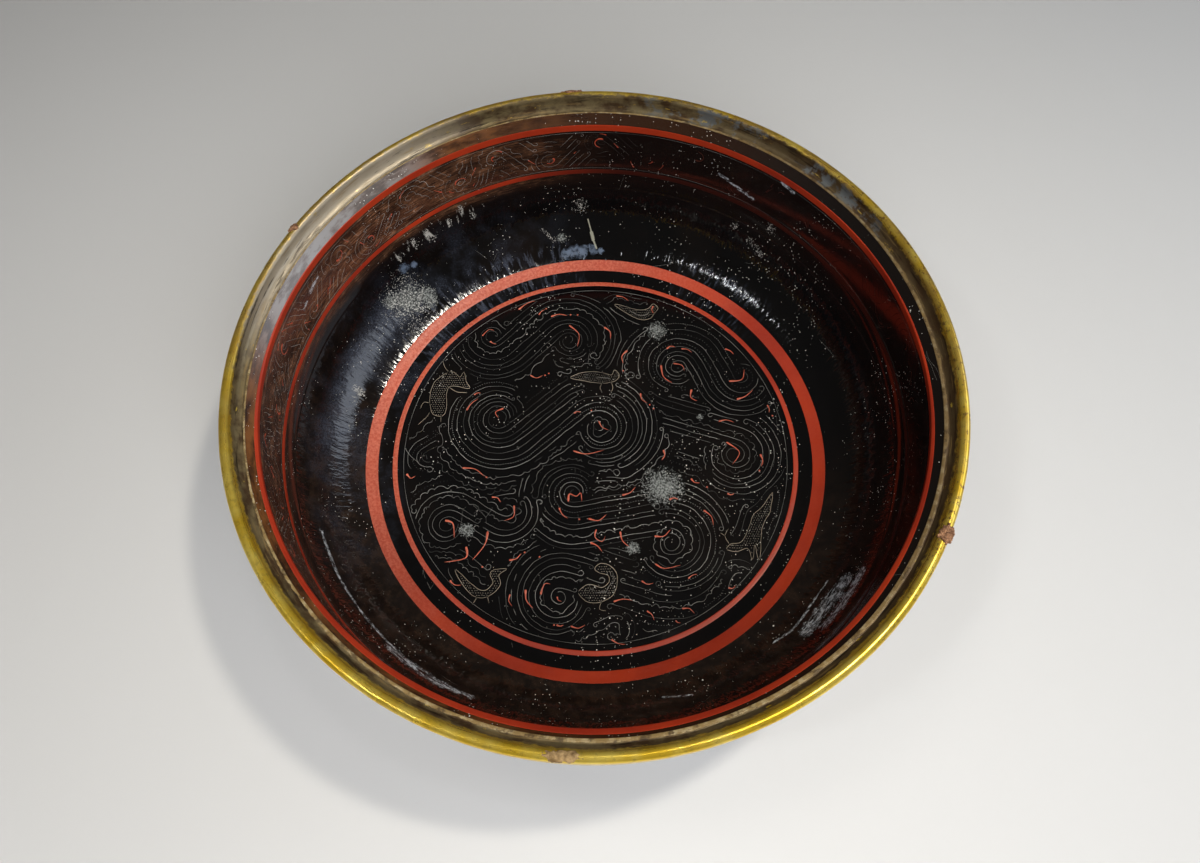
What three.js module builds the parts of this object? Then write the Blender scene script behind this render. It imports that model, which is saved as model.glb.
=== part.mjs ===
// An engraved black-lacquer basin with a gilt-bronze rim, built up in coats on a turned wooden core.
//
// The wood carries everything. A ground of lacquer paste lies on it, black lacquer lies on the ground, and
// the red lines are painted on the black. The core's turned-out lip sits in a bronze channel, bedded in
// paste. The coats butt against the channel's two edges, and the foot stands on bare, worn wood.
//
// Every piece is turned about one axis: a closed outline of [radius, height] points that a lathe sweeps
// round. Neighbouring pieces take their common surface from the same function, so they meet face to face.
// Sizes are in millimetres, +Z is up, and the origin is the centre of the standing face.
import * as THREE from "three";

// Inside form, from the rim inwards and from the foot upwards
const RIM_DIAMETER = 280; // over the bead
const WALL_INSET = 11.6; // from the bead's outside in to the foot of the straight wall
const BELLY_REACH = 38.6; // from the straight wall in to the flat floor
const BELLY_HEIGHT = 43.4; // rise of the belly's curve from the floor to the straight wall
const WALL_HEIGHT = 26; // straight wall, up to where the lip turns out
const WALL_LEAN = 0.1; // how much wider the straight wall is at its top
const LIP_RISE = 9.6; // from the straight wall to the top of the bead

// Thickness of the wood and of each coat
const WOOD = 3.6;
const GROUND = 0.8;
const LACQUER = 0.4;
const PAINT = 0.15;
const HAIRLINE = 0.01; // clearance behind every coat, so that rounded coordinates never make two overlap

// Foot
const FOOT_INSET = 2; // from the edge of the flat floor in to the foot's outside
const FOOT_HEIGHT = 5; // standing face to the underside of the base
const FOOT_WIDTH = 7; // across the foot, over its coats
const FOOT_BARE = 0.6; // height of the worn, uncoated standing edge

// Bronze channel on the lip
const BEAD_RADIUS = 2;
const CHANNEL_SHEET = 0.8;
const BEDDING = 0.6;
const INNER_EDGE_INSET = 8.1; // from the bead's outside in to the channel's inner edge
const INNER_EDGE_DROP = 6; // from the bead's top down to the channel's inner edge
const INNER_BORDER = 0.5; // how far the border of the inner edge stands proud
const HOLLOW_DEPTH = 0.9; // how far the inner flange sags between border and bead
const OUTER_FLANGE_INSET = 0.4; // from the bead's outside in to the outer flange
const OUTER_FLANGE = 9; // depth of the outer flange below the bead's middle
const LIP_UNDERCUT = 4; // height of the slope under the lip

// Red lines, inside from the floor's edge outwards and up the wall, and outside
const THIN_LINE_WIDTH = 2.1;
const FLOOR_LINE_GAP = 6.3; // black between the thin and the broad floor line
const BROAD_LINE_WIDTH = 5.2;
const LOWER_LINE_DROP = 2.8; // below the foot of the straight wall
const LOWER_LINE_WIDTH = 2.5;
const UPPER_LINE_WIDTH = 3.6; // reaches down from where the lip turns out
const OUTSIDE_LINE_INSET = 1.5; // from either end of the outside's straight wall
const OUTSIDE_LINE_WIDTH = 2.5;

// Facets: flats round the axis, and steps along each curve of an outline
const FLATS = 40;
const INSIDE_BELLY_STEPS = 4;
const OUTSIDE_BELLY_STEPS = 5;
const BEAD_STEPS = 6;
const FLANGE_STEPS = 4;

const COATS = LACQUER + GROUND;
const SHELL = WOOD + 2 * COATS; // whole thickness of wall and base
const SEAT = CHANNEL_SHEET + BEDDING; // how deep the wood lies under the channel's face

const RIM_RADIUS = RIM_DIAMETER / 2;
const WALL_RADIUS = RIM_RADIUS - WALL_INSET;
const FLOOR_RADIUS = WALL_RADIUS - BELLY_REACH;
const FOOT_RADIUS = FLOOR_RADIUS - FOOT_INSET;
const FLANGE_RADIUS = RIM_RADIUS - OUTER_FLANGE_INSET;
const BEAD_CENTRE_RADIUS = RIM_RADIUS - BEAD_RADIUS;

const FLOOR_LEVEL = FOOT_HEIGHT + SHELL;
const WALL_FOOT = FLOOR_LEVEL + BELLY_HEIGHT;
const WALL_TOP = WALL_FOOT + WALL_HEIGHT;
const RIM_TOP = WALL_TOP + LIP_RISE;
const BEAD_LEVEL = RIM_TOP - BEAD_RADIUS;
const FLANGE_FOOT = BEAD_LEVEL - OUTER_FLANGE;
const OUTSIDE_WALL_TOP = FLANGE_FOOT - LIP_UNDERCUT;

// Surfaces. Each is a function of where along the outline a point lies, and of its depth under the inside's
// visible face. The outside's face is at the depth of the whole shell.

// The belly, an ellipse whose coats stay parallel, at an angle in radians from straight down.
const belly = (angle, depth) => [
  FLOOR_RADIUS + (BELLY_REACH + depth) * Math.sin(angle),
  WALL_FOOT - (BELLY_HEIGHT + depth) * Math.cos(angle),
];

const wall = (height, depth) => [
  WALL_RADIUS + (WALL_LEAN * (height - WALL_FOOT)) / WALL_HEIGHT + depth,
  height,
];

// The lip's face, at a share of the way from the channel's inner edge to the bead. It sags like the flange.
const lip = (share, depth) => {
  const edge = new THREE.Vector2(RIM_RADIUS - INNER_EDGE_INSET, RIM_TOP - INNER_EDGE_DROP);
  const end = new THREE.Vector2(BEAD_CENTRE_RADIUS - BEAD_RADIUS, BEAD_LEVEL);
  const run = end.clone().sub(edge);
  const inward = new THREE.Vector2(run.y, -run.x).normalize();
  const sag = HOLLOW_DEPTH * Math.sin(Math.PI * share);
  return edge.addScaledVector(run, share).addScaledVector(inward, depth + sag).toArray();
};

const bead = (angle) => [
  BEAD_CENTRE_RADIUS + BEAD_RADIUS * Math.cos(angle),
  BEAD_LEVEL + BEAD_RADIUS * Math.sin(angle),
];

// Where the red lines begin and end on the belly, as angles
const angleAtRadius = (radius) => Math.asin((radius - FLOOR_RADIUS) / BELLY_REACH);
const angleAtHeight = (height) => Math.acos((WALL_FOOT - height) / BELLY_HEIGHT);

const THIN_OUTER = angleAtRadius(FLOOR_RADIUS + THIN_LINE_WIDTH);
const BROAD_INNER = angleAtRadius(FLOOR_RADIUS + THIN_LINE_WIDTH + FLOOR_LINE_GAP);
const BROAD_OUTER = angleAtRadius(FLOOR_RADIUS + THIN_LINE_WIDTH + FLOOR_LINE_GAP + BROAD_LINE_WIDTH);
const LOWER_TOP = angleAtHeight(WALL_FOOT - LOWER_LINE_DROP);
const LOWER_BOTTOM = angleAtHeight(WALL_FOOT - LOWER_LINE_DROP - LOWER_LINE_WIDTH);

// Evenly spaced values from first to last, both included
const spread = (first, last, steps) =>
  Array.from({ length: steps + 1 }, (_, step) => first + ((last - first) * step) / steps);

// The inside from the axis out to the channel's inner edge
const insideSurface = (depth) => {
  const plainBelly = spread(BROAD_OUTER, LOWER_BOTTOM, INSIDE_BELLY_STEPS);
  const angles = [0, THIN_OUTER, BROAD_INNER, ...plainBelly, LOWER_TOP, Math.PI / 2];
  return [
    [0, FLOOR_LEVEL - depth],
    ...angles.map((angle) => belly(angle, depth)),
    wall(WALL_TOP, depth),
    lip(0, depth),
  ];
};

// The outside from the channel's outer edge down to the foot's worn edge, depth counted from outside
const outsideSurface = (depth) => [
  [FLANGE_RADIUS - depth, FLANGE_FOOT],
  wall(OUTSIDE_WALL_TOP, SHELL - depth),
  ...spread(Math.PI / 2, 0, OUTSIDE_BELLY_STEPS).map((angle) => belly(angle, SHELL - depth)),
  [FOOT_RADIUS - depth, FOOT_HEIGHT + depth],
  [FOOT_RADIUS - depth, FOOT_BARE],
];

// The recess inside the foot, from the foot's worn edge in to the axis
const baseSurface = (depth) => {
  const radius = FOOT_RADIUS - FOOT_WIDTH + depth;
  return [[radius, FOOT_BARE], [radius, FOOT_HEIGHT + depth], [0, FOOT_HEIGHT + depth]];
};

// The hollow of the channel at a depth under its face: up the inner flange, across under the bead, and
// down the outer flange.
const channelHollow = (depth) => {
  const innerFlange = spread(0, 1, FLANGE_STEPS).map((share) => lip(share, depth));
  const cheek = FLANGE_RADIUS - depth;
  const under = innerFlange.at(-1)[1];
  return [...innerFlange, [cheek, under], [cheek, FLANGE_FOOT]];
};

// The channel's polished face: the proud border, the sagging inner flange, the bead and the outer flange.
const channelFace = () => {
  const shares = spread(0, 1, FLANGE_STEPS);
  const flangeCut = -Math.acos(1 - OUTER_FLANGE_INSET / BEAD_RADIUS);
  return [
    lip(0, -INNER_BORDER),
    lip(shares[1] / 2, -INNER_BORDER),
    ...shares.slice(1, -1).map((share) => lip(share, 0)),
    ...spread(Math.PI, 0, BEAD_STEPS).map(bead),
    bead(flangeCut),
    [FLANGE_RADIUS, FLANGE_FOOT],
  ];
};

// Sweeps an outline round the axis. An outline that doesn't begin and end on the axis is closed first.
const turned = (name, outline, material) => {
  const points = outline.map(([radius, height]) => new THREE.Vector2(radius, height));
  if (points[0].x > 0) points.push(points[0].clone());
  if (THREE.ShapeUtils.isClockWise(points)) points.reverse();
  const geometry = new THREE.LatheGeometry(points, FLATS).rotateX(Math.PI / 2);
  const mesh = new THREE.Mesh(geometry, material);
  mesh.name = name;
  return mesh;
};

// The outline of a coat on a surface, between two depths, a hairline short of what lies behind it
const coat = (surface, face, back) => [...surface(face), ...surface(back - HAIRLINE).toReversed()];

const finish = (color, roughness, metalness = 0) =>
  new THREE.MeshStandardMaterial({ color, roughness, metalness });

const wood = finish(0x7a5a3c, 0.8);
const ground = finish(0x4a4038, 0.9);
const blackLacquer = finish(0x15110f, 0.18);
const redLacquer = finish(0xa8331f, 0.3);
const giltBronze = finish(0xb99a5b, 0.35, 0.9);
const paste = finish(0x6b6256, 0.9);

const woodCore = () => {
  const coated = insideSurface(COATS);
  const recess = baseSurface(COATS);
  const outside = outsideSurface(COATS);
  const footOutside = outside.at(-1)[0];
  const footInside = recess[0][0];
  const standing = [[footOutside, 0], [footInside, 0]];
  const outline = [...coated, ...channelHollow(SEAT), ...outside.slice(0, -1), ...standing, ...recess.slice(1)];
  return turned("wood_core", outline, wood);
};

const grounds = () => [
  turned("ground_inside", coat(insideSurface, LACQUER, COATS), ground),
  turned("ground_outside", coat(outsideSurface, LACQUER, COATS), ground),
  turned("ground_base", coat(baseSurface, LACQUER, COATS).toReversed(), ground),
];

const lacquers = () => [
  turned("lacquer_inside", coat(insideSurface, 0, LACQUER), blackLacquer),
  turned("lacquer_outside", coat(outsideSurface, 0, LACQUER), blackLacquer),
  turned("lacquer_base", coat(baseSurface, 0, LACQUER).toReversed(), blackLacquer),
];

const rimChannel = () => {
  const back = channelHollow(CHANNEL_SHEET - HAIRLINE).toReversed();
  return turned("rim_channel", [...channelFace(), ...back], giltBronze);
};

const rimBedding = () => turned("rim_bedding", coat(channelHollow, CHANNEL_SHEET, SEAT), paste);

// A painted line on one straight stretch of a surface, from one place along it to another
const painted = (name, surface, from, to) => {
  const stretch = (depth) => [surface(from, depth), surface(to, depth)];
  return turned(name, coat(stretch, -PAINT, 0), redLacquer);
};

const redLines = () => {
  const outsideWall = (height, depth) => wall(height, SHELL - depth);
  const upperOutside = OUTSIDE_WALL_TOP - OUTSIDE_LINE_INSET;
  const lowerOutside = WALL_FOOT + OUTSIDE_LINE_INSET;
  return [
    painted("red_line_floor_thin", belly, 0, THIN_OUTER),
    painted("red_line_floor_broad", belly, BROAD_INNER, BROAD_OUTER),
    painted("red_line_wall_lower", belly, LOWER_BOTTOM, LOWER_TOP),
    painted("red_line_wall_upper", wall, WALL_TOP - UPPER_LINE_WIDTH, WALL_TOP),
    painted("red_line_outside_upper", outsideWall, upperOutside - OUTSIDE_LINE_WIDTH, upperOutside),
    painted("red_line_outside_lower", outsideWall, lowerOutside, lowerOutside + OUTSIDE_LINE_WIDTH),
  ];
};

const basin = new THREE.Group();
basin.add(woodCore(), ...grounds(), ...lacquers(), rimBedding(), rimChannel(), ...redLines());

export default basin;
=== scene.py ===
# %% [markdown]
# # An engraved black-lacquer basin with a gilt-bronze rim
#
# The basin is turned wood under a ground of lacquer paste and a coat of black lacquer. Clouds and small
# animals are cut into the lacquer with a needle, red lacquer is painted round it, and a gilt-bronze channel
# is folded over its lip. The solids of every piece come from the frame. This scene dresses them: smooth
# turned skins, true engraved grooves, raised strokes of paint, and the wear of two thousand years.

# %% The frame
import math
import random

import bpy
import numpy as np
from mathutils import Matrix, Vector
from mathutils import noise as hills
from mathutils.geometry import delaunay_2d_cdt


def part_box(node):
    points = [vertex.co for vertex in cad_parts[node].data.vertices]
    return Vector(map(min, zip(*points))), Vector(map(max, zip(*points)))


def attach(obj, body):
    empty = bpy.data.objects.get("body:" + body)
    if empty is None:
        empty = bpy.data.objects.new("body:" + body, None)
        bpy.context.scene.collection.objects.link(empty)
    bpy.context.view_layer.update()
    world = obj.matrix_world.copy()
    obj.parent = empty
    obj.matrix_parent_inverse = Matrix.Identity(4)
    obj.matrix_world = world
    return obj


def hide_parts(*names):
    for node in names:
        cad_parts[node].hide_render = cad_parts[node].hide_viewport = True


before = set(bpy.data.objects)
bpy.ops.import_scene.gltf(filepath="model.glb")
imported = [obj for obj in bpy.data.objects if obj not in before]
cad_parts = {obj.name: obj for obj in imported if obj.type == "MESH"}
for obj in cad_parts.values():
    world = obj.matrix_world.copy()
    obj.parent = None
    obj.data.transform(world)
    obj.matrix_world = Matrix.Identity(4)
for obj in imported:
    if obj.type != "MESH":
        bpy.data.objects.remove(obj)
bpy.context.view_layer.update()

print("nodes in the frame:", len(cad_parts))

# %% [markdown]
# ## Measures
#
# Blender works in metres and the basin was drawn in millimetres, so each size is written as millimetres
# times MM. Radii that a box can tell are read from the frame, so that the dressed piece always fits it.

# %% Measures
MM = 0.001

RIM_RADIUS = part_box("rim_channel")[1].x
RIM_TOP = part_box("rim_channel")[1].z
FLOOR_RADIUS = 89.8 * MM
FLOOR_LEVEL = 11 * MM
BELLY_REACH = 38.6 * MM
BELLY_HEIGHT = 43.4 * MM
WALL_HEIGHT = 26 * MM
WALL_LEAN = 0.1 * MM
WALL_FOOT = FLOOR_LEVEL + BELLY_HEIGHT
WALL_TOP = WALL_FOOT + WALL_HEIGHT
WALL_RADIUS = FLOOR_RADIUS + BELLY_REACH

WOOD = 3.6 * MM
GROUND = 0.8 * MM
LACQUER = 0.4 * MM
PAINT = 0.15 * MM
COATS = GROUND + LACQUER
SHELL = WOOD + 2 * COATS

FOOT_RADIUS = 87.8 * MM
FOOT_WIDTH = 7 * MM
FOOT_HEIGHT = 5 * MM
FOOT_BARE = 0.6 * MM

BEAD_RADIUS = 2 * MM
BEAD_CENTRE = RIM_RADIUS - BEAD_RADIUS
BEAD_LEVEL = RIM_TOP - BEAD_RADIUS
CHANNEL_SHEET = 0.8 * MM
BEDDING = 0.6 * MM
INNER_EDGE_RADIUS = RIM_RADIUS - 8.1 * MM
INNER_EDGE_LEVEL = RIM_TOP - 6 * MM
HOLLOW_DEPTH = 0.9 * MM
FLANGE_RADIUS = RIM_RADIUS - 0.4 * MM
FLANGE_FOOT = BEAD_LEVEL - 9 * MM
OUTSIDE_WALL_TOP = FLANGE_FOOT - 4 * MM

print("rim radius and top in mm:", round(RIM_RADIUS / MM, 2), round(RIM_TOP / MM, 2))

# %% [markdown]
# ## Camera
#
# The photograph was taken from above the near edge, about 65 degrees over the horizon, with a short lens.
# The lens and the place were worked out from how the rim and the red circles sit in the picture.

# %% Camera
CAMERA_PLACE = Vector((2.4, -163.5, 389.4)) * MM
CAMERA_TILT = math.radians(24.66)
CAMERA_ROLL = math.radians(0.12)
SENSOR_MM = 36
LENS_MM = 27.15

camera_data = bpy.data.cameras.new("camera")
camera_data.sensor_width = SENSOR_MM
camera_data.lens = LENS_MM
camera_data.clip_start = 0.01
camera = bpy.data.objects.new("camera", camera_data)
camera.location = CAMERA_PLACE
camera.rotation_euler = (CAMERA_TILT, 0, CAMERA_ROLL)
bpy.context.scene.collection.objects.link(camera)
bpy.context.scene.camera = camera
print("camera height over the table in mm:", round(CAMERA_PLACE.z / MM))

# %% [markdown]
# ## Light
#
# Lamps hang over the table on both sides and throw the two pale shadows beside the bowl, and a wide fill from
# the front lights the far wall. Black lacquer shows little but what it mirrors, so three small lamps draw
# bright marks on the belly and a pale window lies in it as a crescent on the left. The broad lamps are left
# out of reflections, because their images would lie on the lacquer as a veil.

# %% Light
BEAM = math.radians(100)
NARROW_BEAM = math.radians(76)
AIM = (0, -190 * MM, 0)


def lamp(name, place, size, power, colour=(1, 1, 1), aim=AIM, beam=NARROW_BEAM, mirrored=True):
    """Hang a lamp of a width and a height, and turn it to face a point of the table."""
    data = bpy.data.lights.new(name, "AREA")
    data.shape = "RECTANGLE"
    data.size, data.size_y = size
    data.energy = power
    data.color = colour
    data.spread = beam
    made = bpy.data.objects.new(name, data)
    made.location = Vector(place) * MM
    made.rotation_euler = (Vector(aim) - made.location).to_track_quat("-Z", "Y").to_euler()
    made.visible_glossy = mirrored
    bpy.context.scene.collection.objects.link(made)


COOL = (0.93, 0.96, 1)
WARM = (1, 0.97, 0.92)
AMBER_LIGHT = (1, 0.94, 0.82)
FILL_LIGHT = (0.97, 0.97, 1)
lamp("lamp_right", (458, 100, 1235), (90 * MM, 90 * MM), 1.20, AMBER_LIGHT)
lamp("lamp_left", (-480, 60, 1235), (250 * MM, 250 * MM), 0.28, WARM, mirrored=False)
lamp("lamp_top", (184, -37, 1235), (50 * MM, 50 * MM), 0.12, COOL)
lamp("lamp_front_left", (-650, -330, 1235), (90 * MM, 90 * MM), 0.34, COOL)
lamp("lamp_window", (870, 170, 480), (600 * MM, 400 * MM), 2.3, (0.80, 0.88, 1), (0, 0, 50 * MM), math.pi)
lamp("lamp_fill", (180, -740, 720), (760 * MM, 760 * MM), 4.0, FILL_LIGHT, AIM, BEAM, mirrored=False)

world = bpy.data.worlds.new("plain_sky")
world.use_nodes = True
world.node_tree.nodes["Background"].inputs["Color"].default_value = (1, 0.97, 0.91, 1)
world.node_tree.nodes["Background"].inputs["Strength"].default_value = 0.06
bpy.context.scene.world = world
bpy.context.scene.view_settings.view_transform = "Standard"

# %% [markdown]
# ## Small tools
#
# Operators act on everything that is selected, so each step starts by selecting one object and nothing
# else. Materials are trees of nodes: a helper adds one node, and takes each input either as a plain value or
# as the socket that feeds it. A socket knows its tree, so most helpers need no more than their sockets.

# %% Selecting
def only(piece):
    """Select one object and make it the active one."""
    bpy.ops.object.select_all(action="DESELECT")
    piece.select_set(True)
    bpy.context.view_layer.objects.active = piece


# %% Adding nodes
def add(tree, kind, settings=None, **inputs):
    """Add a node, set its properties, and fill or feed its inputs. Spaces in names are underscores."""
    made = tree.nodes.new(kind)
    for key, value in (settings or {}).items():
        setattr(made, key, value)
    for key, value in inputs.items():
        name = int(key[2:]) if key.startswith("in") and key[2:].isdigit() else key.replace("_", " ")
        socket = made.inputs[name]
        if isinstance(value, bpy.types.NodeSocket):
            tree.links.new(value, socket)
        else:
            socket.default_value = value
    return made


def tree_of(*values):
    """The tree that the first socket among some values belongs to."""
    return next(value.id_data for value in values if isinstance(value, bpy.types.NodeSocket))


def maths(operation, first, second=0.0, third=0.0, clamp=False):
    """A Math node's result. Only MULTIPLY_ADD reads the third value."""
    settings = {"operation": operation, "use_clamp": clamp}
    made = add(tree_of(first, second), "ShaderNodeMath", settings, in0=first, in1=second, in2=third)
    return made.outputs[0]


def times(first, *others):
    """The product of two or more values."""
    for other in others:
        first = maths("MULTIPLY", first, other)
    return first


def blend(share, first, second):
    """Mix two colours by a share from 0 to 1."""
    made = add(tree_of(share), "ShaderNodeMix", {"data_type": "RGBA"}, in0=share, in6=first, in7=second)
    return made.outputs[2]


def fit(value, low, high, to_low=0.0, to_high=1.0):
    """Stretch a value's range from low and high to two others, and stop at both ends."""
    settings = {"interpolation_type": "SMOOTHSTEP"}
    return add(tree_of(value), "ShaderNodeMapRange", settings, Value=value, From_Min=low, From_Max=high,
               To_Min=to_low, To_Max=to_high).outputs[0]


def rgb(red, green, blue):
    """A colour as nodes take it, fully opaque."""
    return (red, green, blue, 1)


def noise(place, scale, detail=3.0, roughness=0.55):
    """A noise pattern's grey value. The scale counts waves in a metre."""
    return add(tree_of(place), "ShaderNodeTexNoise", Vector=place, Scale=scale, Detail=detail,
               Roughness=roughness).outputs[0]


def vector(operation, first, output=0, **inputs):
    """A Vector Math node's result."""
    made = add(tree_of(first, *inputs.values()), "ShaderNodeVectorMath", {"operation": operation},
               in0=first, **inputs)
    return made.outputs[output]


def from_mesh(place, label):
    """A value that the mesh brings for each of its points, beside a socket of the same tree."""
    return add(tree_of(place), "ShaderNodeAttribute", {"attribute_name": label}).outputs["Fac"]


# %% [markdown]
# ## Shared effects
#
# Dust, scratches and worn patches lie on several finishes. Each is a node group that only puts out a mask,
# so the same dust can whiten lacquer and dull bronze.

# %% Dust specks
def group(name, inputs, outputs):
    """An empty node group with named float inputs and outputs."""
    tree = bpy.data.node_groups.new(name, "ShaderNodeTree")
    for label, value in inputs.items():
        socket = tree.interface.new_socket(label, in_out="INPUT", socket_type="NodeSocketFloat")
        socket.default_value = value
    for label in outputs:
        tree.interface.new_socket(label, in_out="OUTPUT", socket_type="NodeSocketFloat")
    return tree, tree.nodes.new("NodeGroupInput"), tree.nodes.new("NodeGroupOutput")


def dust_group():
    """White specks: small round cells, of which a random few are kept, more in some places than in others."""
    tree, given, result = group("dust_specks", {"Scale": 400, "Share": 0.1, "Size": 0.2}, ["Mask"])
    place = add(tree, "ShaderNodeTexCoord").outputs["Object"]
    cells = add(tree, "ShaderNodeTexVoronoi", {"feature": "F1"}, Vector=place, Scale=given.outputs["Scale"])
    size = times(cells.outputs["Color"], given.outputs["Size"])
    near = maths("LESS_THAN", cells.outputs["Distance"], size)
    crowd = fit(noise(place, 38, 3), 0.38, 0.66, 0.2, 2.2)
    parts = add(tree, "ShaderNodeSeparateColor", Color=cells.outputs["Color"])
    kept = maths("LESS_THAN", parts.outputs[1], times(given.outputs["Share"], crowd))
    tree.links.new(times(near, kept), result.inputs[0])
    return tree


DUST = dust_group()


# %% [markdown]
# Hair scratches are what cleaning leaves on a gloss. The borders of a Voronoi texture's cells, drawn out
# along one direction, give long thin lines for little cost, and a noise breaks them up.

# %% Scratches
def scratch_group():
    """Hair-fine scratches: the borders of large cells drawn out along one direction and broken up."""
    inputs = {"Scale": 60, "Width": 0.01, "Turn": 0.0, "Share": 0.5}
    tree, given, result = group("scratches", inputs, ["Mask"])
    place = add(tree, "ShaderNodeTexCoord").outputs["Object"]
    turn = add(tree, "ShaderNodeCombineXYZ", Z=given.outputs["Turn"]).outputs[0]
    drawn = add(tree, "ShaderNodeMapping", Vector=place, Rotation=turn, Scale=(1, 0.16, 1)).outputs[0]
    bent = add(tree, "ShaderNodeTexNoise", Vector=place, Scale=18, Detail=2)
    moved = vector("ADD", drawn, in1=vector("SCALE", bent.outputs["Color"], Scale=0.02))
    cells = add(tree, "ShaderNodeTexVoronoi", {"feature": "DISTANCE_TO_EDGE"}, Vector=moved,
                Scale=given.outputs["Scale"])
    line = maths("LESS_THAN", cells.outputs["Distance"], given.outputs["Width"])
    broken = maths("LESS_THAN", noise(place, 55, 2), given.outputs["Share"])
    tree.links.new(times(line, broken), result.inputs[0])
    return tree


SCRATCHES = scratch_group()


# %% [markdown]
# A rubbed patch has no outline, because its grains get fewer outwards. So its cover falls with the distance
# from its middle, and each small cell of a fine Voronoi texture is on or off by chance.

# %% Granular patches
def patch_group():
    """A patch whose cover thins out towards its border grain by grain.

    Reach is the distance from its middle as a share of its radius.
    """
    inputs = {"Reach": 1.0, "Ragged": 0.6, "Soft": 0.5, "Grain": 0.7}
    tree, given, result = group("granular_patch", inputs, ["Mask"])
    place = add(tree, "ShaderNodeTexCoord").outputs["Object"]
    coarse = maths("SUBTRACT", noise(place, 230, 4, 0.7), 0.5)
    bitten = maths("MULTIPLY_ADD", coarse, given.outputs["Ragged"], given.outputs["Reach"])
    inward = maths("DIVIDE", maths("SUBTRACT", 1.0, bitten), given.outputs["Soft"])
    cover = maths("ADD", inward, 0.35, clamp=True)
    cells = add(tree, "ShaderNodeTexVoronoi", {"feature": "F1"}, Vector=place, Scale=2400)
    chance = add(tree, "ShaderNodeSeparateColor", Color=cells.outputs["Color"]).outputs[0]
    speckled = maths("LESS_THAN", chance, cover)
    difference = maths("SUBTRACT", speckled, cover)
    tree.links.new(maths("MULTIPLY_ADD", difference, given.outputs["Grain"], cover), result.inputs[0])
    return tree


PATCH = patch_group()


def mask_of(tree, effect, **inputs):
    """Place a shared effect in a material and give back its mask."""
    return add(tree, "ShaderNodeGroup", {"node_tree": effect}, **inputs).outputs["Mask"]


print("shared effects:", [g.name for g in bpy.data.node_groups])

# %% [markdown]
# ## Finishes
#
# Each finish is its own material with one Principled shader. What is the same all over is set on the shader
# itself, and only what varies is fed by nodes. Wear is laid coat by coat over the clean finish.

# %% A blank finish
def finish(name, colour, roughness, metallic=0.0):
    """A material with its tree and shader, and the object coordinates that its patterns read."""
    made = bpy.data.materials.new(name)
    made.use_nodes = True
    made.diffuse_color = colour
    tree = made.node_tree
    shader = tree.nodes["Principled BSDF"]
    shader.inputs["Base Color"].default_value = colour
    shader.inputs["Roughness"].default_value = roughness
    shader.inputs["Metallic"].default_value = metallic
    place = add(tree, "ShaderNodeTexCoord").outputs["Object"]
    return made, tree, shader, place


def feed(tree, shader, **sockets):
    """Feed inputs of the shader. Underscores stand for spaces."""
    for key, value in sockets.items():
        tree.links.new(value, shader.inputs[key.replace("_", " ")])


def bumped(height, strength, distance, base=None):
    """A normal bent by a height pattern. The distance is the relief's depth in metres."""
    under = {} if base is None else {"Normal": base}
    return add(tree_of(height), "ShaderNodeBump", Height=height, Strength=strength, Distance=distance,
               **under).outputs[0]


def laid(mask, coat, coat_rough, colour, rough, cover=1.0):
    """Lay a coat of another colour and roughness over the finish, where a mask says."""
    share = times(mask, cover)
    change = maths("SUBTRACT", coat_rough, rough)
    return blend(share, colour, coat), maths("MULTIPLY_ADD", change, share, rough)


# %% [markdown]
# Everything on a turned bowl follows its axis, so patterns need directions, distances and drawn-out
# coordinates round it. A small class keeps them together for one material.

# %% Round the axis
class Polar:
    """Where a point lies round the basin's axis, for patterns that follow the turning."""

    def __init__(self, tree, place):
        self.tree = tree
        parts = add(tree, "ShaderNodeSeparateXYZ", Vector=place)
        self.x, self.y, self.height = parts.outputs
        square = maths("MULTIPLY_ADD", self.x, self.x, times(self.y, self.y))
        self.away = maths("SQRT", square)

    def towards(self, degrees, full, none):
        """A mask that is full near one direction from the axis and fades out at a wider angle."""
        ahead = times(self.x, math.cos(math.radians(degrees)))
        ahead = maths("MULTIPLY_ADD", self.y, math.sin(math.radians(degrees)), ahead)
        cosine = maths("DIVIDE", ahead, self.away)
        return fit(cosine, math.cos(math.radians(none)), math.cos(math.radians(full)))

    def band(self, value, low, high, soft):
        """A mask for values between two bounds, with soft borders."""
        above = fit(value, low - soft, low)
        return times(above, fit(value, high + soft, high))

    def wound(self, around, along):
        """Coordinates that run round the basin without a seam and up its slope, both drawn out at will."""
        turn = maths("DIVIDE", around, self.away)
        slope = times(maths("ADD", self.away, self.height), along)
        x, y = times(self.x, turn), times(self.y, turn)
        return add(self.tree, "ShaderNodeCombineXYZ", X=x, Y=y, Z=slope).outputs[0]


def nearest_of(place, marks):
    """The distance to the nearest of some marks, as a share of its radius. A mark runs from start to end."""
    least = None
    for start, end, radius in marks:
        run = end - start
        apart = vector("SUBTRACT", place, in1=start)
        if run.length > 0:
            ahead = vector("DOT_PRODUCT", apart, "Value", in1=run / run.length_squared)
            ahead = maths("ADD", ahead, 0.0, clamp=True)
            apart = vector("SUBTRACT", apart, in1=vector("SCALE", run, Scale=ahead))
        share = maths("DIVIDE", vector("LENGTH", apart, "Value"), radius)
        least = share if least is None else maths("MINIMUM", least, share)
    return least
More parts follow.
